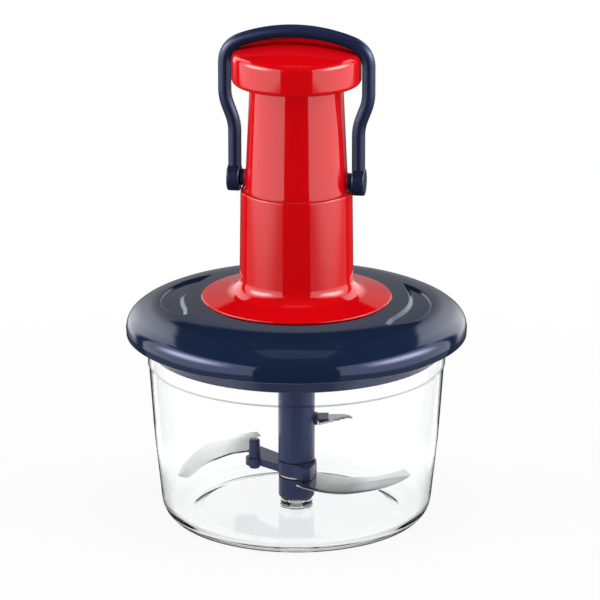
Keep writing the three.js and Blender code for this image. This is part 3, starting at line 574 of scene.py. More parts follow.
class Form:
    """Mesh of one piece, put together from closed shells."""

    def __init__(self) -> None:
        """Starts with an empty mesh."""
        self.mesh = bmesh.new()

    def _joined(self, rings: list[list[bmesh.types.BMVert]], closed: bool) -> "Form":
        """Joins neighbouring rings of points with faces, in a circle or between two caps."""
        pairs = list(zip(rings, rings[1:]))
        if closed:
            pairs.append((rings[-1], rings[0]))
        for low, high in pairs:
            count = max(len(low), len(high))
            for k in range(count):
                n = (k + 1) % count
                around = (low[k % len(low)], low[n % len(low)], high[n % len(high)], high[k % len(high)])
                corners = list(dict.fromkeys(around))
                if len(corners) > 2:
                    self.mesh.faces.new(corners)
        if not closed:
            for ring in (rings[0], rings[-1]):
                if len(ring) > 2:
                    self.mesh.faces.new(ring)
        return self

    def turned(
        self,
        profile: Sequence[Flat],
        sides: int = SIDES,
        place: Matrix | None = None,
        relief: Callable[[int, float, float], float] | None = None,
    ) -> "Form":
        """Turns a closed profile about the Z axis.

        Args:
            profile: Radius and height of its points.
            sides: Number of sides.
            place: Where the turned shell goes.
            relief: Height to add at a point, from its number, radius and angle.

        Returns:
            The form itself.
        """
        where = place or Matrix.Identity(4)
        rings = []
        for i, (r, z) in enumerate(profile):
            if r < TINY:
                rings.append([self.mesh.verts.new(where @ Vector((0, 0, z)))])
                continue
            ring = []
            for k in range(sides):
                angle = 2 * math.pi * k / sides
                lift = relief(i, r, angle) if relief else 0.0
                spot = Vector((r * math.cos(angle), r * math.sin(angle), z + lift))
                ring.append(self.mesh.verts.new(where @ spot))
            rings.append(ring)
        return self._joined(rings, not (profile[0][0] < TINY and profile[-1][0] < TINY))

    def plate(
        self,
        outline: Sequence[Flat],
        bottom: float,
        top: float,
        bevel: float,
        grind: Sequence[float] | None = None,
    ) -> "Form":
        """Raises a flat outline between two heights, with bevelled edges.

        Args:
            outline: Points round the plate.
            bottom: Height of its lower face.
            top: Height of its upper face.
            bevel: Width of the bevels.
            grind: Width of the ground edge at each point, or nothing.

        Returns:
            The form itself.
        """
        points = [Vector(p) for p in outline]
        count = len(points)
        area = sum(points[i - 1].x * points[i].y - points[i].x * points[i - 1].y for i in range(count))
        side = 1 if area > 0 else -1
        inward = []
        for i in range(count):
            way = (points[(i + 1) % count] - points[i - 1]).normalized()
            inward.append(Vector((-way.y, way.x)) * side)
        widths = grind or [bevel] * count
        thin = min(bevel, (top - bottom) / 4)
        drops = [thin + (top - bottom - 3 * thin) * smooth((w - bevel) / (2 * bevel)) for w in widths]
        layers = [
            [(p + way * thin, bottom) for p, way in zip(points, inward)],
            [(p, bottom + thin) for p in points],
            [(p, top - drop) for p, drop in zip(points, drops)],
            [(p + way * max(thin, width), top) for p, way, width in zip(points, inward, widths)],
        ]
        rings = [[self.mesh.verts.new((p.x, p.y, z)) for p, z in layer] for layer in layers]
        return self._joined(rings, False)

    def swept(self, stations: Iterable[tuple[Vector, Vector, Vector]], radius: float, sides: int) -> "Form":
        """Sweeps a round bar along a line.

        Args:
            stations: Places on the bar's middle line, each with two directions across the bar.
            radius: The bar's radius.
            sides: Number of sides.

        Returns:
            The form itself.
        """
        turns = [2 * math.pi * k / sides for k in range(sides)]
        rings = []
        for centre, out, aside in stations:
            shifts = (out * (radius * math.cos(a)) + aside * (radius * math.sin(a)) for a in turns)
            rings.append([self.mesh.verts.new(centre + shift) for shift in shifts])
        return self._joined(rings, False)

    def moved(self, place: Matrix) -> "Form":
        """Moves all that the form holds so far."""
        bmesh.ops.transform(self.mesh, matrix=place, verts=self.mesh.verts)
        return self

    def piece(
        self, name: str, finish: Finish, body: Body | None, *nodes: str, mirrored: bool = True
    ) -> bpy.types.Object:
        """Ends the form as a piece that stands for solids of the part.

        Args:
            name: The piece's name.
            finish: Its finish.
            body: Body that it rides on, or nothing.
            *nodes: Solids that it stands for.
            mirrored: Whether it shows in reflections.

        Returns:
            The new object.
        """
        bmesh.ops.recalc_face_normals(self.mesh, faces=self.mesh.faces)
        data = bpy.data.meshes.new(name)
        self.mesh.to_mesh(data)
        self.mesh.free()
        data.shade_smooth()
        data.set_sharp_from_angle(angle=SHARP_ANGLE)
        data.materials.append(material_of(finish))
        made = placed(name, data)
        made.visible_glossy = mirrored
        if body:
            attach(made, body.value)
        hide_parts(*nodes)
        return made


def dress(finish: Finish, *nodes: str) -> None:
    """Gives hidden solids of the part a finish, and keeps them out of reflections.

    Args:
        finish: The finish.
        *nodes: Names of the solids.
    """
    for name in nodes:
        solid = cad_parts[name]
        solid.visible_glossy = False
        solid.data.materials.clear()
        solid.data.materials.append(material_of(finish))


def lying(side: int, height: float) -> Matrix:
    """Place that lays a turned shell along X at a height, towards one side."""
    return Matrix.Translation((0, 0, height)) @ Matrix.Rotation(side * math.pi / 2, 4, "Y")


# Sub-assemblies


@dataclass
class Bowl:
    """Clear tapered bowl with a rim band, rounded foot, foot ring and centre boss."""

    rim_radius: float = 0.0722
    height: float = 0.0955
    band_bottom: float = 0.0778
    band_step: float = 0.00045
    wall: float = 0.0024
    foot_radius: float = 0.0565
    corner_run: float = 0.0095
    corner_rise: float = 0.011
    corner_end: float = -7.0
    waist_radius: float = 0.0694
    waist_height: float = 0.043
    waist_round: float = 0.3
    ring_width: float = 0.0056
    recess: float = 0.0011
    slope: float = 0.0047
    floor: float = 0.0028
    boss_radius: float = 0.0078
    boss_top: float = 0.0084
    boss_foot: float = 0.001
    pin_hole: float = 0.0033
    pin_floor: float = 0.0031
    edge: float = 0.0002
    rim_round: float = 0.0006
    corner_steps: int = 18

    def corner(self, run: float, rise: float, angles: Span) -> list[Corner]:
        """Rounded corner between floor and wall."""
        return arc(self.foot_radius, self.corner_rise, run, angles, self.corner_steps, rise)

    def profile(self) -> list[Corner]:
        """Corners of the bowl's half section, from the axis under the floor to the boss."""
        floor_top = self.recess + self.floor
        inner_rim = self.rim_radius - self.wall
        ring_inner = self.foot_radius - self.ring_width
        return [
            (0, self.recess, 0),
            (ring_inner - self.slope, self.recess, self.edge),
            (ring_inner, 0, self.edge),
            *self.corner(self.corner_run, self.corner_rise, (-90, self.corner_end)),
            (self.waist_radius, self.waist_height, self.waist_round),
            (self.rim_radius - self.band_step, self.band_bottom, self.edge / 2),
            (self.rim_radius, self.band_bottom + self.edge, self.edge / 2),
            (self.rim_radius, self.height, self.rim_round),
            (inner_rim, self.height, self.rim_round),
            (inner_rim, self.band_bottom, self.edge),
            (self.waist_radius - self.wall, self.waist_height, self.waist_round),
            *self.corner(self.corner_run - self.wall, self.corner_rise - floor_top, (self.corner_end, -90)),
            (self.boss_radius, floor_top, self.boss_foot),
            (self.boss_radius, self.boss_top, self.rim_round),
            (self.pin_hole, self.boss_top, self.edge),
            (self.pin_hole, self.pin_floor, 0),
            (0, self.pin_floor, 0),
        ]

    def build(self) -> None:
        """Builds the bowl and dresses its pin."""
        Form().turned(rounded(self.profile())).piece("clear_bowl", CLEAR, Body.BOWL, "bowl")
        dress(PIN_STEEL, "bowl_pin")
        log.info("bowl: clear shell and centre pin")


@dataclass
class BladeUnit:
    """Hollow shaft with its foot, arm, socket and three blades."""

    shaft_radius: float = 0.0089
    shaft_top: float = 0.0836
    bore: float = 0.005
    shoulder: float = 0.0274
    spigot: float = 0.007
    foot_radius: float = 0.0088
    foot_bottom: float = 0.0087
    foot_top: float = 0.0188
    foot_plate: float = 0.0022
    foot_chamfer: float = 0.0008
    pin_bore: float = 0.00335
    thickness: float = 0.001
    lower_bottom: float = 0.0191
    collar_radius: float = 0.0093
    clamp_radius: float = 0.0082
    collar_bottom: float = 0.0204
    collar_top: float = 0.0271
    arm_top: float = 0.025
    arm_thickness: float = 0.0035
    arm_reach: float = 0.035
    post_place: Flat = (-0.0207, 0.0086)
    post_foot: float = 0.0029
    post_tip: float = 0.00265
    post_height: float = 0.0092
    post_round: float = 0.0006
    post_boss: float = 0.0044
    post_boss_rise: float = 0.0001
    post_tail_radius: float = 0.0027
    post_tail: float = 0.0019
    lower_reach: float = 0.0562
    middle_reach: float = 0.06
    middle_bottom: float = 0.0253
    upper_reach: float = 0.0275
    upper_bottom: float = 0.0469
    block_height: float = 0.001
    block_width: float = 0.01
    block_reach: float = 0.0158
    pad_height: float = 0.0056
    pad_width: float = 0.004
    pad_reach: float = 0.0104
    socket_root: float = 0.008811
    gap: float = 0.0003
    edge: float = 0.0003
    bevel: float = 0.0002
    upper_bevel: float = 0.00015
    grind: float = 0.0021
    grind_in: int = 12  # points over which the ground edge begins
    grind_out: int = 8  # points over which it ends
    steps: int = 10
    place: Matrix = field(default_factory=lambda: Matrix.Rotation(BLADE_TURN, 4, "Z"))

    arm_shares = (
        (-0.13, -0.2), (-0.26, -0.09), (-0.49, 0.12), (-0.66, 0.31), (-0.66, 0.7), (-0.89, 0.74),
        (-0.86, 1), (-0.59, 1), (-0.52, 0.72), (-0.25, 0.42), (-0.07, 0.19),
    )
    lug_shares = ((-0.3, -0.85), (0.33, -1.5), (0.7, -1.48), (1.06, -0.65), (1.04, 0), (0, 0))
    lower_lead_shares = (
        (0, -0.31), (0.16, -0.44), (0.31, -0.51), (0.46, -0.51), (0.68, -0.42), (0.86, -0.26), (1, -0.05),
    )
    lower_trail_shares = (
        (0.95, 0.1), (0.78, -0.04), (0.6, -0.11), (0.42, -0.11), (0.27, -0.05), (0.16, 0.04),
    )
    middle_lead_shares = (
        (-0.33, 0.71), (-0.46, 0.69), (-0.57, 0.65), (-0.67, 0.57), (-0.74, 0.47), (-0.8, 0.36),
        (-0.86, 0.2), (-0.91, 0.02), (-0.94, -0.16), (-0.95, -0.28), (-0.945, -0.34), (-0.915, -0.385),
    )
    middle_trail_shares = (
        (-0.87, -0.39), (-0.81, -0.24), (-0.76, -0.11), (-0.69, 0.01), (-0.62, 0.09), (-0.53, 0.18),
        (-0.41, 0.24), (-0.37, 0.33), (-0.35, 0.55), (-0.3, 0.63),
    )
    upper_shares = (
        (0.39, -0.27), (0.58, -0.14), (0.66, -0.09), (0.67, -0.04), (0.77, -0.03), (0.78, 0.04),
        (0.86, 0.05), (0.88, 0.1), (0.93, 0.1), (0.97, 0.07), (1, 0.09), (0.96, 0.17), (0.93, 0.2),
        (0.85, 0.24), (0.73, 0.24), (0.39, 0.22),
    )

    def unit(self, form: Form, name: str, node: str, finish: Finish = SATIN_BLUE) -> None:
        """Turns a form to the unit's place and ends it as a piece."""
        form.moved(self.place).piece(name, finish, Body.BLADES, node)

    def shaft(self) -> None:
        """Builds the hollow shaft and its foot."""
        plate = self.foot_bottom + self.foot_plate
        hollow = [
            (self.pin_bore, plate + self.gap, 0),
            (self.spigot, plate + self.gap, 0),
            (self.spigot, self.shoulder, 0),
            (self.shaft_radius, self.shoulder, self.edge),
            (self.shaft_radius, self.shaft_top, self.edge),
            (self.bore, self.shaft_top, self.edge),
            (self.bore, self.shaft_top / 2, 0),
            (self.pin_bore, self.shaft_top / 2, 0),
        ]
        foot = [
            (self.pin_bore, self.foot_bottom, 0),
            (self.foot_radius, self.foot_bottom, self.foot_chamfer),
            (self.foot_radius, self.foot_top, self.edge),
            (self.spigot + self.gap, self.foot_top, 0),
            (self.spigot + self.gap, plate, 0),
            (self.pin_bore, plate, 0),
        ]
        self.unit(Form().turned(rounded(hollow), SHAFT_SIDES), "blue_shaft", "blade_shaft")
        self.unit(Form().turned(rounded(foot), SHAFT_SIDES), "shaft_foot_collar", "shaft_foot")

    def ring(self, bottom: float, top: float, radius: float) -> Form:
        """Starts a form with a collar round the shaft's spigot."""
        bore = self.spigot + self.gap
        corners = [(bore, bottom, 0), (radius, bottom, self.edge), (radius, top, self.edge), (bore, top, 0)]
        return Form().turned(rounded(corners), SHAFT_SIDES)

    def arm(self) -> None:
        """Builds the collar with its lug, the arm and its post."""
        low, high, top = self.collar_bottom, self.collar_top, self.arm_top
        bottom = top - self.arm_thickness
        form = self.ring(low, high, self.collar_radius)
        form.plate(scaled(self.lug_shares, self.collar_radius), low, high, self.edge)
        form.plate(scaled(self.arm_shares, self.arm_reach), bottom, top, self.edge)
        post = [
            (0, bottom - self.post_tail, 0),
            (self.post_tail_radius, bottom - self.post_tail, self.post_round),
            (self.post_tail_radius, bottom + self.edge, 0),
            (self.post_foot, top - self.edge, 0),
            (self.post_tip, top + self.post_height, self.post_round),
            (0, top + self.post_height, 0),
        ]
        boss = [
            (0, bottom - self.post_boss_rise, 0),
            (self.post_boss, bottom - self.post_boss_rise, self.edge),
            (self.post_boss, top + self.post_boss_rise, self.edge),
            (0, top + self.post_boss_rise, 0),
        ]
        for corners in (post, boss):
            form.turned(rounded(corners), SMALL_SIDES, Matrix.Translation((*self.post_place, 0)))
        self.unit(form, "blue_arm", "blade_arm")

    def sickle(self, form: Form, lead: Sequence[Flat], trail: Sequence[Flat], reach: float, z: float) -> Form:
        """Adds a curved blade with a ground leading edge.

        Args:
            form: Form to add it to.
            lead: Shares of the leading edge, from the root out.
            trail: Shares of the trailing edge, from the tip back.
            reach: Size that the shares are of.
            z: Height of its lower face.

        Returns:
            The form.
        """
        front = curve(scaled(lead, reach), self.steps)
        rear = curve(scaled(trail, reach), self.steps)
        last = len(front) - 1
        widths = [
            self.grind * smooth(i / self.grind_in) * smooth((last - i) / self.grind_out) + self.bevel
            for i in range(last + 1)
        ]
        widths += [self.bevel] * len(rear)
        return form.plate([*front, *rear], z, z + self.thickness, self.bevel, widths)

    def blades(self) -> None:
        """Builds the three blades."""
        form = self.ring(self.lower_bottom, self.lower_bottom + self.thickness, self.clamp_radius)
        low = self.lower_lead_shares, self.lower_trail_shares, self.lower_reach, self.lower_bottom
        self.unit(self.sickle(form, *low), "lower_sickle", "lower_blade", BLADE_STEEL)
        mid = self.middle_lead_shares, self.middle_trail_shares, self.middle_reach, self.middle_bottom
        self.unit(self.sickle(Form(), *mid), "middle_sickle", "middle_blade", BLADE_STEEL)
        outline, bottom = scaled(self.upper_shares, self.upper_reach), self.upper_bottom
        high = Form().plate(outline, bottom, bottom + self.thickness, self.upper_bevel)
        self.unit(high, "upper_notched_blade", "upper_blade", NOTCHED_STEEL)

    def socket(self) -> None:
        """Builds the pad and block that hold the upper blade."""
        top = self.upper_bottom + self.thickness
        block = top + self.gap
        form = Form()
        for low, high, width, reach in (
            (top - self.pad_height / 2, top + self.pad_height / 2, self.pad_width, self.pad_reach),
            (block, block + self.block_height, self.block_width, self.block_reach),
        ):
            root, half = self.socket_root, width / 2
            form.plate([(root, -half), (reach, -half), (reach, half), (root, half)], low, high, self.edge)
        self.unit(form, "blue_blade_socket", "blade_socket")

    def build(self) -> None:
        """Builds the whole unit."""
        self.shaft()
        self.arm()
        self.socket()
        self.blades()
        log.info("blade unit: shaft, foot, arm, socket and three blades")


@dataclass
class Lid:
    """Domed lid with crescent recesses, its base, seal and hidden drive."""

    radius: float = 0.0826
    seat_radius: float = 0.0464
    seat_top: float = 0.1086
    crown_top: float = 0.1098
    wall: float = 0.0026
    lip_bottom: float = 0.0926
    lip_height: float = 0.096
    lip_draft: float = 0.0005
    lip_wall: float = 0.0021
    opening: float = 0.0272
    edge: float = 0.0003
    recess_depth: float = 0.0013
    recess_inner: float = 0.054
    recess_width: float = 0.013
    recess_tip: float = math.radians(37)
    recess_end: float = math.radians(-35)
    recess_bevel: float = 0.0027
    recess_margin: float = 0.001
    recess_parts: int = 3  # finer pieces of the dome across the recesses
    under_step: int = 4  # points of the dome between two on its underside
    steps: int = 9
    sides: int = 720
    skirt_radius: float = 0.0693
    skirt_wall: float = 0.0022
    skirt_bottom: float = 0.0841
    floor_bottom: float = 0.0882
    floor_top: float = 0.0902
    hub_bore: float = 0.00835
    hub_radius: float = 0.01095
    hub_top: float = 0.0972
    well_inner: float = 0.024
    well_outer: float = 0.0304
    flange_radius: float = 0.0732
    flange_bottom: float = 0.0981
    flange_top: float = 0.1008
    seal_inner: float = 0.0698
    seal_outer: float = 0.072
    seal_bottom: float = 0.0958
    seal_top: float = 0.0978
    seal_round: float = 0.0006

    drop_shares = (
        (0, 0), (0.26, 0.03), (0.43, 0.07), (0.54, 0.12), (0.65, 0.195), (0.76, 0.31), (0.845, 0.42),
        (0.905, 0.53), (0.955, 0.66), (0.985, 0.81), (1, 1),
    )
    outer_shares = (0.3, 0.52, 0.7, 0.84, 0.94, 0.99, 1, 0.94, 0.79, 0.52)
    inner_shares = (0.3, 0.13, 0.05, 0.01, 0, 0, 0, 0.01, 0.06, 0.26)

    def surface(self) -> list[Flat]:
        """Radius and height of the lid's upper surface, from the seat to the lip."""
        start, top = self.seat_radius, self.crown_top
        run, drop = self.radius - start, top - self.lip_height
        return curve([(start + run * out, top - drop * down) for out, down in self.drop_shares], self.steps)

    def edge_radius(self, shares: Sequence[float], along: float) -> float:
        """Radius of a recess edge at a share of its length."""
        spot = min(max(along, 0.0), 1.0) * (len(shares) - 1)
        i = min(int(spot), len(shares) - 2)
        before, after = shares[max(i - 1, 0)], shares[min(i + 2, len(shares) - 1)]
        first, last = shares[i], shares[i + 1]
        share = eased(spot - i, first, last, (last - before) / 2, (after - first) / 2)
        return self.recess_inner + self.recess_width * share

    def relief(self, r: float, angle: float) -> float:
        """Depth of the recesses at a place on the lid, as a height to add."""
        turn = math.atan2(math.sin(angle), abs(math.cos(angle)))
        along = (self.recess_tip - turn) / (self.recess_tip - self.recess_end)
        if not 0 < along < 1 or not self.recess_inner < r < self.recess_inner + self.recess_width:
            return 0.0
        inside = min(
            self.edge_radius(self.outer_shares, along) - r,
            r - self.edge_radius(self.inner_shares, along),
            (turn - self.recess_end) * r,
        )
        return -self.recess_depth * smooth(inside / self.recess_bevel)

    def dome(self, top: Sequence[Flat]) -> list[Flat]:
        """The upper surface with finer pieces across the recesses."""
        fine: list[Flat] = []
        inner, outer = self.recess_inner - self.recess_margin, self.recess_inner + self.recess_width
        for (r0, z0), (r1, z1) in zip(top, top[1:]):
            parts = self.recess_parts if inner < r1 and r0 < outer else 1
            fine += [(r0 + (r1 - r0) * k / parts, z0 + (z1 - z0) * k / parts) for k in range(parts)]
        return [*fine, top[-1]]

    def shell(self) -> None:
        """Builds the domed shell."""
        top = self.surface()
        fine = self.dome(top)
        under = []
        for i in range(len(top) - self.under_step, self.under_step - 1, -self.under_step):
            (r0, z0), (r1, z1) = top[i - 1], top[i + 1]
            way = Vector((r1 - r0, z1 - z0)).normalized()
            under.append((top[i][0] + way.y * self.wall, top[i][1] - way.x * self.wall))
        start = [
            (self.opening, self.seat_top),
            (self.seat_radius - 2 * self.edge, self.seat_top),
            (self.seat_radius - self.edge, self.seat_top + self.edge),
            (self.seat_radius - self.edge / 2, self.crown_top - self.edge),
        ]
        lip = [
            (self.radius - self.lip_draft / 3, self.lip_bottom + self.edge),
            (self.radius - self.lip_draft, self.lip_bottom),
            (self.radius - self.lip_wall, self.lip_bottom),
            (self.radius - self.lip_wall, self.lip_height),
        ]
        inner = [
            (self.seat_radius - self.wall, self.seat_top - self.wall),
            (self.opening, self.seat_top - self.wall),
        ]
        domed = range(len(start), len(start) + len(fine) - 1)
        form = Form().turned(
            [*start, *fine, *lip, *under, *inner],
            self.sides,
            None,
            lambda i, r, angle: self.relief(r, angle) if i in domed else 0.0,
        )
        form.piece("domed_lid", BLUE, Body.LID, "lid_shell")

    def base(self) -> None:
        """Builds the lid base with its skirt and the seal."""
        skirt_inner = self.skirt_radius - self.skirt_wall
        base = [
            (self.hub_bore, self.floor_bottom),
            (skirt_inner, self.floor_bottom),
            (skirt_inner, self.skirt_bottom),
            (self.skirt_radius, self.skirt_bottom),
            (self.skirt_radius, self.flange_bottom),
            (self.flange_radius, self.flange_bottom),
            (self.flange_radius, self.flange_top),
            (skirt_inner, self.flange_top),
            (skirt_inner, self.floor_top),
            (self.well_outer, self.floor_top),
            (self.well_outer, self.hub_top),
            (self.well_inner, self.hub_top),
            (self.well_inner, self.floor_top),
            (self.hub_radius, self.floor_top),
            (self.hub_radius, self.hub_top),
            (self.hub_bore, self.hub_top),
        ]
        throat = (self.skirt_radius, self.flange_bottom)
        corners = [(r, z, 0 if (r, z) == throat else self.edge) for r, z in base]
        Form().turned(rounded(corners)).piece("lid_base_and_skirt", SATIN_BLUE, Body.LID, "lid_base")
        inner, outer, bottom, top = self.seal_inner, self.seal_outer, self.seal_bottom, self.seal_top
        ring = ((inner, bottom), (outer, bottom), (outer, top), (inner, top))
        seal = [(r, z, self.seal_round) for r, z in ring]
        Form().turned(rounded(seal)).piece("rim_seal", SEAL, Body.LID, "lid_seal")

    def build(self) -> None:
        """Builds the lid and dresses the drive inside it."""
        self.shell()
        self.base()
        counts = (("column", 3), ("base", 4), ("cover", 3))
        screws = [f"{kind}_screw_{i + 1}" for kind, count in counts for i in range(count)]
        dress(PIN_STEEL, *screws, "coupler_clip")
        dress(WHITE, "drive_cover", "drive_nut")
        dress(SATIN_BLUE, "drive_coupler")
        log.info("lid: domed shell, base, seal, screws and drive")


@dataclass
class Pump:
    """Red column, sliding neck and palm knob, with the rod and spring inside."""

    column_top: float = 0.1644
    rim_radius: float = 0.0269
    foot_radius: float = 0.0275
    fillet_top: float = 0.1208
    fillet_radius: float = 0.0105
    fillet_start: float = 252.0
    flange_radius: float = 0.04585
    flange_edge: float = 0.0022
    flange_rise: float = 0.0021
    seam_width: float = 0.0016
    seam_height: float = 0.0013
    column_bottom: float = 0.1089
    rim_round: float = 0.0008
    mouth: float = 0.02515
    mouth_lip: float = 0.0034
    bore: float = 0.0258
    neck_radius: float = 0.0248
    neck_top_radius: float = 0.0223
    neck_wall: float = 0.0022
    neck_bottom: float = 0.119
    taper_start: float = 0.165
    taper_round: float = 0.02
    bead_height: float = 0.0057
    bead_step: float = 0.00055
    disc_top: float = 0.2196
    disc_thickness: float = 0.0026
    disc_radius: float = 0.028
    rod_bore: float = 0.0041
    rod_boss: float = 0.0074
    rod_boss_length: float = 0.008
    pivot_height: float = 0.169
    boss_radius: float = 0.0044
    boss_inner: float = 0.0214
    boss_reach: float = 0.0249
    boss_bore: float = 0.0035
    knob_radius: float = 0.031
    knob_bottom: float = 0.2166
    lower_round: float = 0.0024
    shoulder: float = 0.2284
    shoulder_round: float = 0.0036
    knob_top: float = 0.2356
    knob_wall: float = 0.0024
    knob_ledge: float = 0.0012
    knob_turn: float = 65.0
    gap: float = 0.0003
    edge: float = 0.0003
    fillet_steps: int = 28
    crown_steps: int = 24
    lower_steps: int = 12
    shoulder_steps: int = 14
    spring_radius: float = 0.0098
    spring_wire: float = 0.0007
    spring_curls: int = 8
    spring_bottom: float = 0.1075
    spring_top: float = 0.2145
    curl_steps: int = 40
    wire_sides: int = 12

    def column(self) -> None:
        """Builds the column with its flared foot."""
        rise = self.fillet_top - self.column_bottom - self.flange_edge - self.flange_rise
        centre, angles = self.foot_radius + self.fillet_radius, (self.fillet_start, 180)
        bottom, seam = self.column_bottom, self.column_bottom + self.seam_height
        throat = self.column_top - self.mouth_lip
        corners = [
            (self.bore, bottom, 0),
            (self.flange_radius - self.seam_width, bottom, 0),
            (self.flange_radius - self.seam_width, seam, 0),
            (self.flange_radius, seam, self.rim_round / 3),
            (self.flange_radius, bottom + self.flange_edge, self.rim_round / 2),
            *arc(centre, self.fillet_top, self.fillet_radius, angles, self.fillet_steps, rise),
            (self.rim_radius, self.column_top, self.rim_round),
            (self.mouth, self.column_top, self.edge),
            (self.mouth, throat, 0),
            (self.bore, throat - self.edge, 0),
        ]
        Form().turned(rounded(corners)).piece("red_column", RED, Body.LID, "pump_column", mirrored=False)

    def neck(self) -> None:
        """Builds the sliding neck with its pivot bosses."""
        disc_bottom = self.disc_top - self.disc_thickness
        rod_bottom, ceiling = disc_bottom - self.rod_boss_length, disc_bottom - self.neck_wall
        bead, bead_top = self.neck_radius + self.bead_step, self.neck_bottom + self.bead_height
        corners = [
            (self.rod_bore, rod_bottom, 0),
            (self.rod_boss, rod_bottom, self.edge),
            (self.rod_boss, ceiling, self.edge),
            (self.neck_top_radius - self.neck_wall, ceiling, self.edge),
            (self.neck_radius - self.neck_wall, self.taper_start, 0),
            (self.neck_radius - self.neck_wall, self.neck_bottom, 0),
            (bead, self.neck_bottom, self.edge),
            (bead, bead_top, self.edge),
            (self.neck_radius, bead_top + self.bead_step, 0),
            (self.neck_radius, self.taper_start - self.gap, self.taper_round),
            (self.neck_top_radius, disc_bottom, self.edge),
            (self.disc_radius, disc_bottom, self.edge),
            (self.disc_radius, self.disc_top, self.edge),
            (self.rod_bore, self.disc_top, 0),
        ]
        form = Form().turned(rounded(corners))
        boss = [
            (self.boss_radius, self.boss_inner, 0),
            (self.boss_radius, self.boss_reach, self.edge),
            (self.boss_bore, self.boss_reach, 0),
            (self.boss_bore, self.boss_inner, 0),
        ]
        for side in (1, -1):
            form.turned(rounded(boss), SMALL_SIDES, lying(side, self.pivot_height))
        form.piece("red_neck", RED, Body.PUMP, "neck", mirrored=False)

    def knob(self) -> None:
        """Builds the palm knob."""
        turn = math.radians(self.knob_turn)
        low, high = self.knob_radius - self.lower_round, self.knob_radius - self.shoulder_round
        lower, upper = self.knob_bottom + self.lower_round, self.shoulder
        start = (high + self.shoulder_round * math.cos(turn), upper + self.shoulder_round * math.sin(turn))
        crown = bent(start, (start[0] / 2, self.knob_top), (0, self.knob_top), self.crown_steps)[1:]
        bore = self.disc_radius + self.gap
        corners = [
            (0, self.knob_top - self.knob_wall),
            (high - self.knob_wall, upper + self.shoulder_round - self.knob_wall),
            (bore - self.knob_ledge, upper),
            (bore - self.knob_ledge, self.disc_top + self.gap),
            (bore, self.disc_top + self.gap),
            (bore, self.knob_bottom + self.lower_round * (1 - math.sin(turn))),
        ]
        rounds = arc(low, lower, self.lower_round, (-self.knob_turn, 0), self.lower_steps)
        rounds += arc(high, upper, self.shoulder_round, (0, self.knob_turn), self.shoulder_steps)
        profile = [*corners, *((r, z) for r, z, _ in rounds), *crown]
        Form().turned(profile).piece("red_palm_knob", RED, Body.PUMP, "knob_shell", mirrored=False)

    def spring(self) -> None:
        """Builds the return spring's wire, which runs from the lid up to the pump."""
        bottom, top = self.spring_bottom + self.spring_wire, self.spring_top - self.spring_wire
        count = self.curl_steps * self.spring_curls
        up = Vector((0, 0, 1))
        stations = []
        for i in range(count + 1):
            turn = 2 * math.pi * i / self.curl_steps
            out = Vector((math.cos(turn), math.sin(turn), 0))
            stations.append((out * self.spring_radius + up * (bottom + (top - bottom) * i / count), out, up))
        form = Form().swept(stations, self.spring_wire, self.wire_sides)
        wire = form.piece("return_spring_wire", PIN_STEEL, None, "return_spring", mirrored=False)
        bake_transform(wire)

    def build(self) -> None:
        """Builds the tower and dresses what it hides."""
        self.column()
        self.neck()
        self.knob()
        self.spring()
        dress(PIN_STEEL, "twist_rod", "rod_washer", "rod_screw")
        log.info("pump: column, neck, knob, spring and rod")


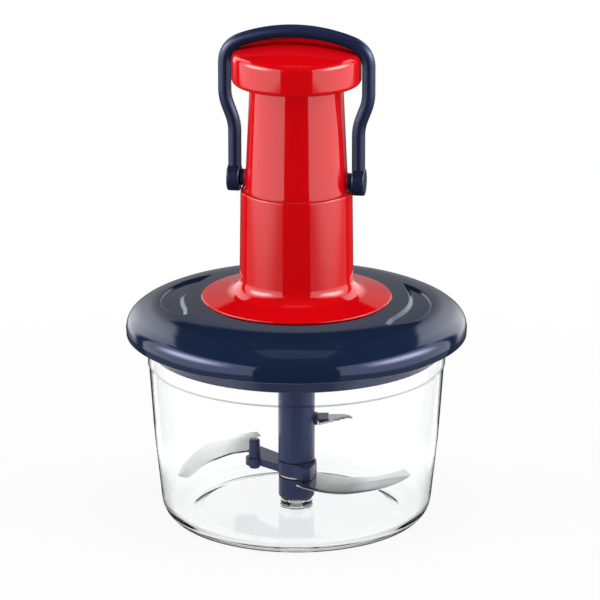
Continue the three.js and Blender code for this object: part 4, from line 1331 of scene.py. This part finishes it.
@dataclass
class Bail:
    """Carry bail with two eyes on its pivot pins."""

    pivot: float = 0.169
    tube: float = 0.0032
    lower_span: float = 0.02995
    upper_span: float = 0.0347
    step_low: float = 0.027
    step_high: float = 0.0396
    top: float = 0.07265
    arch_radius: float = 0.076
    corner: float = 0.0085
    bend: float = 0.0042
    eye_radius: float = 0.0067
    eye_inner: float = 0.02725
    eye_thickness: float = 0.006
    eye_cap: float = 0.0015
    eye_round: float = 0.0008
    dimple_radius: float = 0.0009
    dimple_depth: float = 0.0005
    pin_radius: float = 0.00245
    pin_bore: float = 0.00275
    collar_radius: float = 0.004
    head_radius: float = 0.0039
    head: float = 0.0013
    boss_inner: float = 0.0214
    boss_reach: float = 0.0249
    gap: float = 0.0003
    edge: float = 0.0003
    bend_steps: int = 14
    arch_steps: int = 40

    def arch(self, x: float) -> float:
        """Height of the arch's middle line over the pivot."""
        return self.top - self.arch_radius + math.sqrt(self.arch_radius**2 - x**2)

    def path(self) -> list[Flat]:
        """Middle line of the bail, from its right foot over the arch to its left one."""
        start = self.upper_span - self.corner
        slope = -start / math.sqrt(self.arch_radius**2 - start**2)
        corner = (self.upper_span, self.arch(start) + slope * self.corner)
        low, high = Vector((self.lower_span, self.step_low)), Vector((self.upper_span, self.step_high))
        share = self.bend / (high - low).length
        half: list[Flat] = [(self.lower_span, self.collar_radius + self.gap)]
        for first, middle, last in (
            ((low.x, low.y - self.bend), low, low.lerp(high, share)),
            (high.lerp(low, share), high, (high.x, high.y + self.bend)),
            ((corner[0], corner[1] - self.corner), corner, (start, self.arch(start))),
        ):
            half += bent(first, middle, last, self.bend_steps)
        spans = (start * (1 - k / self.arch_steps) for k in range(1, self.arch_steps + 1))
        half += [(x, self.arch(x)) for x in spans]
        return [*half, *((-x, z) for x, z in reversed(half[:-1]))]

    def loop(self) -> None:
        """Builds the bail's bar with its eyes."""
        path = [Vector((x, 0, z + self.pivot)) for x, z in self.path()]
        stations = []
        for back, here, on in zip([path[0], *path], path, [*path[1:], path[-1]]):
            way = (on - back).normalized()
            stations.append((here, Vector((way.z, 0, -way.x)), Vector((0, 1, 0))))
        form = Form().swept(stations, self.tube, SMALL_SIDES)
        outer = self.eye_inner + self.eye_thickness
        eye = [
            (0, outer - self.eye_cap, 0),
            (self.pin_bore, outer - self.eye_cap, 0),
            (self.pin_bore, self.eye_inner, 0),
            (self.eye_radius, self.eye_inner, self.eye_round),
            (self.eye_radius, outer, self.eye_round),
            (self.dimple_radius, outer, self.edge),
            (0, outer - self.dimple_depth, 0),
        ]
        for side in (1, -1):
            form.turned(rounded(eye), EYE_SIDES, lying(side, self.pivot))
        form.piece("carry_bail", BAIL_BLUE, Body.BAIL, "bail")

    def pins(self) -> None:
        """Builds the two pivot pins."""
        face, collar = self.boss_inner - self.gap, self.boss_reach + self.gap
        stop = self.eye_inner - self.gap
        end = self.eye_inner + self.eye_thickness - self.eye_cap - self.gap
        pin = [
            (0, face - self.head, 0),
            (self.head_radius, face - self.head, self.edge),
            (self.head_radius, face, self.edge),
            (self.pin_radius, face, 0),
            (self.pin_radius, collar, 0),
            (self.collar_radius, collar, self.edge),
            (self.collar_radius, stop, self.edge),
            (self.pin_radius, stop, 0),
            (self.pin_radius, end, 0),
            (0, end, 0),
        ]
        for side, name in ((1, "right"), (-1, "left")):
            form = Form().turned(rounded(pin), SMALL_SIDES, lying(side, self.pivot))
            form.piece(f"{name}_pin", SATIN_BLUE, Body.BAIL, f"{name}_pivot_pin")

    def build(self) -> None:
        """Builds the bail and its pins."""
        self.loop()
        self.pins()
        log.info("bail: bar, eyes and pivot pins")


@dataclass
class Studio:
    """Camera at the photographed angle, pale floor, two side panels and a white surround.

    Depth is how far a place or direction lies behind the object as the camera sees it, across is how
    far it lies to either side, and up is how high.
    """

    azimuth: float = math.radians(9)
    elevation: float = math.radians(17)
    distance: float = 1.9
    aim: float = 0.10843
    lens: float = 235.6
    sensor: float = 36.0
    shift: float = 0.0058
    clip: Span = (0.05, 50.0)
    ambient: float = 0.25
    dark: float = 0.02
    clear_gain: float = 1.13  # light of the white around as the clear bowl shows it

    floor_radius: float = 0.46
    floor_sides: int = 96
    floor_white: float = 0.88
    floor_paint: float = 0.82
    floor_fade: Span = (0.2, 0.437)
    floor_turned: float = 0.95  # light of the floor as mirrored in the bowl: under it, in front and aside
    front_turned: float = 0.3
    side_turned: float = 1.9
    under_bowl: Span = (0.09, 0.12)
    aside: Span = (0.4, 0.75)

    panel_reach: float = 1.1
    panel_azimuth: float = math.radians(74)
    panel_width: float = 2.28
    panel_bottom: float = -0.55
    panel_top: float = 1.45
    panel_low: float = 0.5
    panel_middle: float = 2.4
    panel_foot: Span = (-0.21, -0.1)
    panel_depth: Span = (-0.7, 0.7)
    panel_far: float = 0.75
    panel_cut: Span = (1.2, 1.3)
    panel_cut_light: float = 0.02
    panel_glow: float = 13.0
    glow_rise: Span = (0.05, 0.6)
    glow_fall: Span = (0.6, 1.25)
    glow_near: Span = (-1.0, -0.35)
    glow_far: Span = (-0.1, 0.5)
    panel_fill: float = 2.7  # light of the panel on matt surfaces
    fill_depth: Span = (-1.3, -0.1)
    fill_near: float = 0.3

    back_light: float = 0.3
    side_light: float = 2.1
    side_start: Span = (0.13, 0.46)
    side_end: Span = (0.64, 0.76)
    behind: Span = (-0.2, 0.2)
    horizon: Span = (-0.27, -0.06)
    low_share: float = 0.03
    light_top: Span = (0.43, 0.7)  # up at which the light ends, in the middle and at its sides
    light_top_across: Span = (0.0, 0.5)
    light_top_soft: Span = (0.0, 0.03)
    window_light: float = 0.4
    window_across: Span = (0.14, 0.16)
    window_up: Span = (0.655, 0.675)
    window_depth: Span = (0.08, 0.12)
    clear_zenith: float = 0.4
    zenith: Span = (0.35, 0.7)
    steel_low: float = 1.5  # light around the blades, low and high
    steel_high: float = 0.4
    steel_up: Span = (0.0, 0.6)

    top_power: float = 7.0
    top_size: float = 0.9
    top_place: Triple = (0.1, -0.1, 1.5)
    flag_reach: float = 0.13
    flag_half: float = 0.1
    flag_low: float = 0.195
    flag_high: float = 0.5

    def toward(self, azimuth: float, elevation: float, reach: float) -> Vector:
        """Place at an angle from the camera's side of the object."""
        turn = self.azimuth + azimuth
        flat = math.cos(elevation)
        return Vector((math.sin(turn) * flat, -math.cos(turn) * flat, math.sin(elevation))) * reach

    def depth(self, x: Signal, y: Signal) -> Signal:
        """How far a place or direction lies behind the object."""
        back = self.toward(0, 0, -1.0)
        return x * back.x + y * back.y

    def across(self, x: Signal, y: Signal) -> Signal:
        """How far a place or direction lies to either side."""
        side = self.toward(math.pi / 2, 0, 1.0)
        return (x * side.x + y * side.y).size()

    def camera(self) -> None:
        """Makes the camera."""
        data = bpy.data.cameras.new("camera")
        data.sensor_width = self.sensor
        data.lens = self.lens
        data.shift_x = self.shift
        data.clip_start, data.clip_end = self.clip
        camera = placed("camera", data)
        back = self.toward(0, self.elevation, 1.0)
        camera.location = back * self.distance + Vector((0, 0, self.aim))
        camera.rotation_euler = (-back).to_track_quat("-Z", "Y").to_euler()
        bpy.context.scene.camera = camera

    def staged(self, name: str, corners: Sequence[Vector], material: bpy.types.Material) -> bpy.types.Object:
        """Makes one flat stage surface."""
        data = bpy.data.meshes.new(name)
        data.from_pydata([tuple(c) for c in corners], [], [tuple(range(len(corners)))])
        data.materials.append(material)
        made = placed(name, data)
        return made

    def card(
        self, name: str, middle: Vector, half: float, heights: Span, material: bpy.types.Material
    ) -> bpy.types.Object:
        """Makes one upright stage surface that faces the object.

        Args:
            name: Its name.
            middle: Place of its middle on the floor.
            half: Half its width.
            heights: Heights of its bottom and top.
            material: Its material.

        Returns:
            The new object, which only reflections and light can meet.
        """
        along = Vector((-middle.y, middle.x, 0)).normalized() * half
        low, high = (Vector((0, 0, z)) for z in heights)
        corners = [middle - along + low, middle + along + low, middle + along + high, middle - along + high]
        made = self.staged(name, corners, material)
        made.visible_camera = made.visible_transmission = False
        return made

    def floor(self) -> None:
        """Makes the white floor that keeps the object's shadow."""
        material, graph = new_graph("white floor")
        x, y, _ = graph.axes(graph.place())
        away = (x * x + y * y).root()
        rays = graph.rays()
        far = away.ramp(self.floor_fade, self.floor_white, 1.0)
        paint = graph.node("ShaderNodeBsdfDiffuse", None, {"Color": (*[self.floor_paint] * 3, 1.0)})
        aside = (self.across(x, y) / away).ramp(self.aside, self.front_turned, self.side_turned)
        turned = away.ramp(self.under_bowl).between(self.floor_turned, aside)
        white = rays.clear.between(1, rays.turned.between(self.clear_gain, turned))
        lit = graph.node("ShaderNodeEmission", None, {"Color": white, "Strength": 1.0})
        surface = graph.mixed(rays.seen.larger(rays.clear) * far, paint, lit)
        behind = graph.signal("ShaderNodeNewGeometry", "Backfacing")
        hidden = behind.larger(rays.glossy * (1 - rays.clear))
        graph.show(graph.mixed(hidden, surface, graph.node("ShaderNodeBsdfTransparent")))
        turns = [2 * math.pi * k / self.floor_sides for k in range(self.floor_sides)]
        corners = [Vector((math.cos(a), math.sin(a), 0)) * self.floor_radius for a in turns]
        self.staged("floor", corners, material)

    def panel(self, side: int) -> None:
        """Makes one side panel, dim at its foot and brightest near its top."""
        material, graph = new_graph(f"side panel {side}")
        x, y, z = graph.axes(graph.place())
        depth = self.depth(x, y)
        level = z.ramp(self.panel_foot, self.panel_low, self.panel_middle)
        level = level * depth.ramp(self.panel_depth, 1.0, self.panel_far)
        glow = z.ramp(self.glow_rise) * z.ramp(self.glow_fall, 1.0, 0.0)
        ends = depth.ramp(self.glow_near) * depth.ramp(self.glow_far, 1.0, 0.0)
        level = level + glow * glow * ends * self.panel_glow
        level = level * z.ramp(self.panel_cut, 1.0, self.panel_cut_light)
        fill = depth.ramp(self.fill_depth, self.fill_near, 1.0) * self.panel_fill
        light = graph.rays().glossy.between(fill, level)
        graph.show(graph.node("ShaderNodeEmission", None, {"Color": light, "Strength": 1.0}))
        middle = self.toward(side * self.panel_azimuth, 0, self.panel_reach)
        name = f"side_panel_{'right' if side > 0 else 'left'}"
        self.card(name, middle, self.panel_width / 2, (self.panel_bottom, self.panel_top), material)

    def flag(self) -> None:
        """Makes the black card behind the knob, which keeps its crown deep red."""
        material, graph = new_graph("black card")
        graph.show(graph.node("ShaderNodeBsdfDiffuse", None, {"Color": (0.0, 0.0, 0.0, 1.0)}))
        middle = self.toward(0, 0, -self.flag_reach)
        card = self.card("black_card", middle, self.flag_half, (self.flag_low, self.flag_high), material)
        card.visible_diffuse = card.visible_shadow = False

    def surround(self) -> None:
        """Makes the world: white to the camera and through the clear bowl, dim over the object."""
        world = bpy.data.worlds.new("surround")
        bpy.context.scene.world = world
        world.use_nodes = True
        graph = Graph(world.node_tree)
        x, y, up = graph.axes(graph.node("ShaderNodeTexCoord").outputs["Generated"])
        rays = graph.rays()
        depth, across = self.depth(x, y), self.across(x, y)
        light = across.ramp(self.side_start, self.back_light, self.side_light)
        light = light * across.ramp(self.side_end, 1.0, 0.0)
        light = light * depth.ramp(self.behind) * up.ramp(self.horizon, self.low_share, 1.0)
        top = across.ramp(self.light_top_across, *self.light_top)
        light = light * (top - up).ramp(self.light_top_soft)
        window = across.ramp(self.window_across, 1.0, 0.0) * up.ramp(self.window_up)
        window = window * depth.ramp(self.window_depth)
        mirrored = self.dark + light + window * self.window_light
        refracted = up.ramp(self.zenith, self.clear_gain, self.clear_zenith)
        steel = up.ramp(self.steel_up, self.steel_low, self.steel_high)
        refracted = rays.turned.between(refracted, steel)
        level = rays.clear.between(rays.glossy.between(self.ambient, mirrored), refracted)
        sky = {"Color": rays.seen.between(level, 1), "Strength": 1.0}
        graph.show(graph.node("ShaderNodeBackground", None, sky), "ShaderNodeOutputWorld")

    def lamp(self) -> None:
        """Makes the soft lamp overhead."""
        data = bpy.data.lights.new("overhead", "AREA")
        data.shape = "DISK"
        data.size = self.top_size
        data.energy = self.top_power
        lamp = placed("overhead", data)
        lamp.location = self.top_place
        lamp.visible_camera = lamp.visible_glossy = lamp.visible_transmission = False

    def build(self) -> None:
        """Builds the studio."""
        bpy.context.scene.view_settings.view_transform = "Standard"
        self.camera()
        self.floor()
        for side in (1, -1):
            self.panel(side)
        self.flag()
        self.surround()
        self.lamp()
        log.info("studio: camera, floor, panels, lamp and surround")


def main() -> None:
    """Builds every sub-assembly in order."""
    logging.basicConfig(level=logging.INFO, format="%(name)s: %(message)s")
    Studio().build()
    for part in (Bowl(), BladeUnit(), Lid(), Pump(), Bail()):
        part.build()
    log.info("boxes written")


if __name__ == "__main__":
    main()
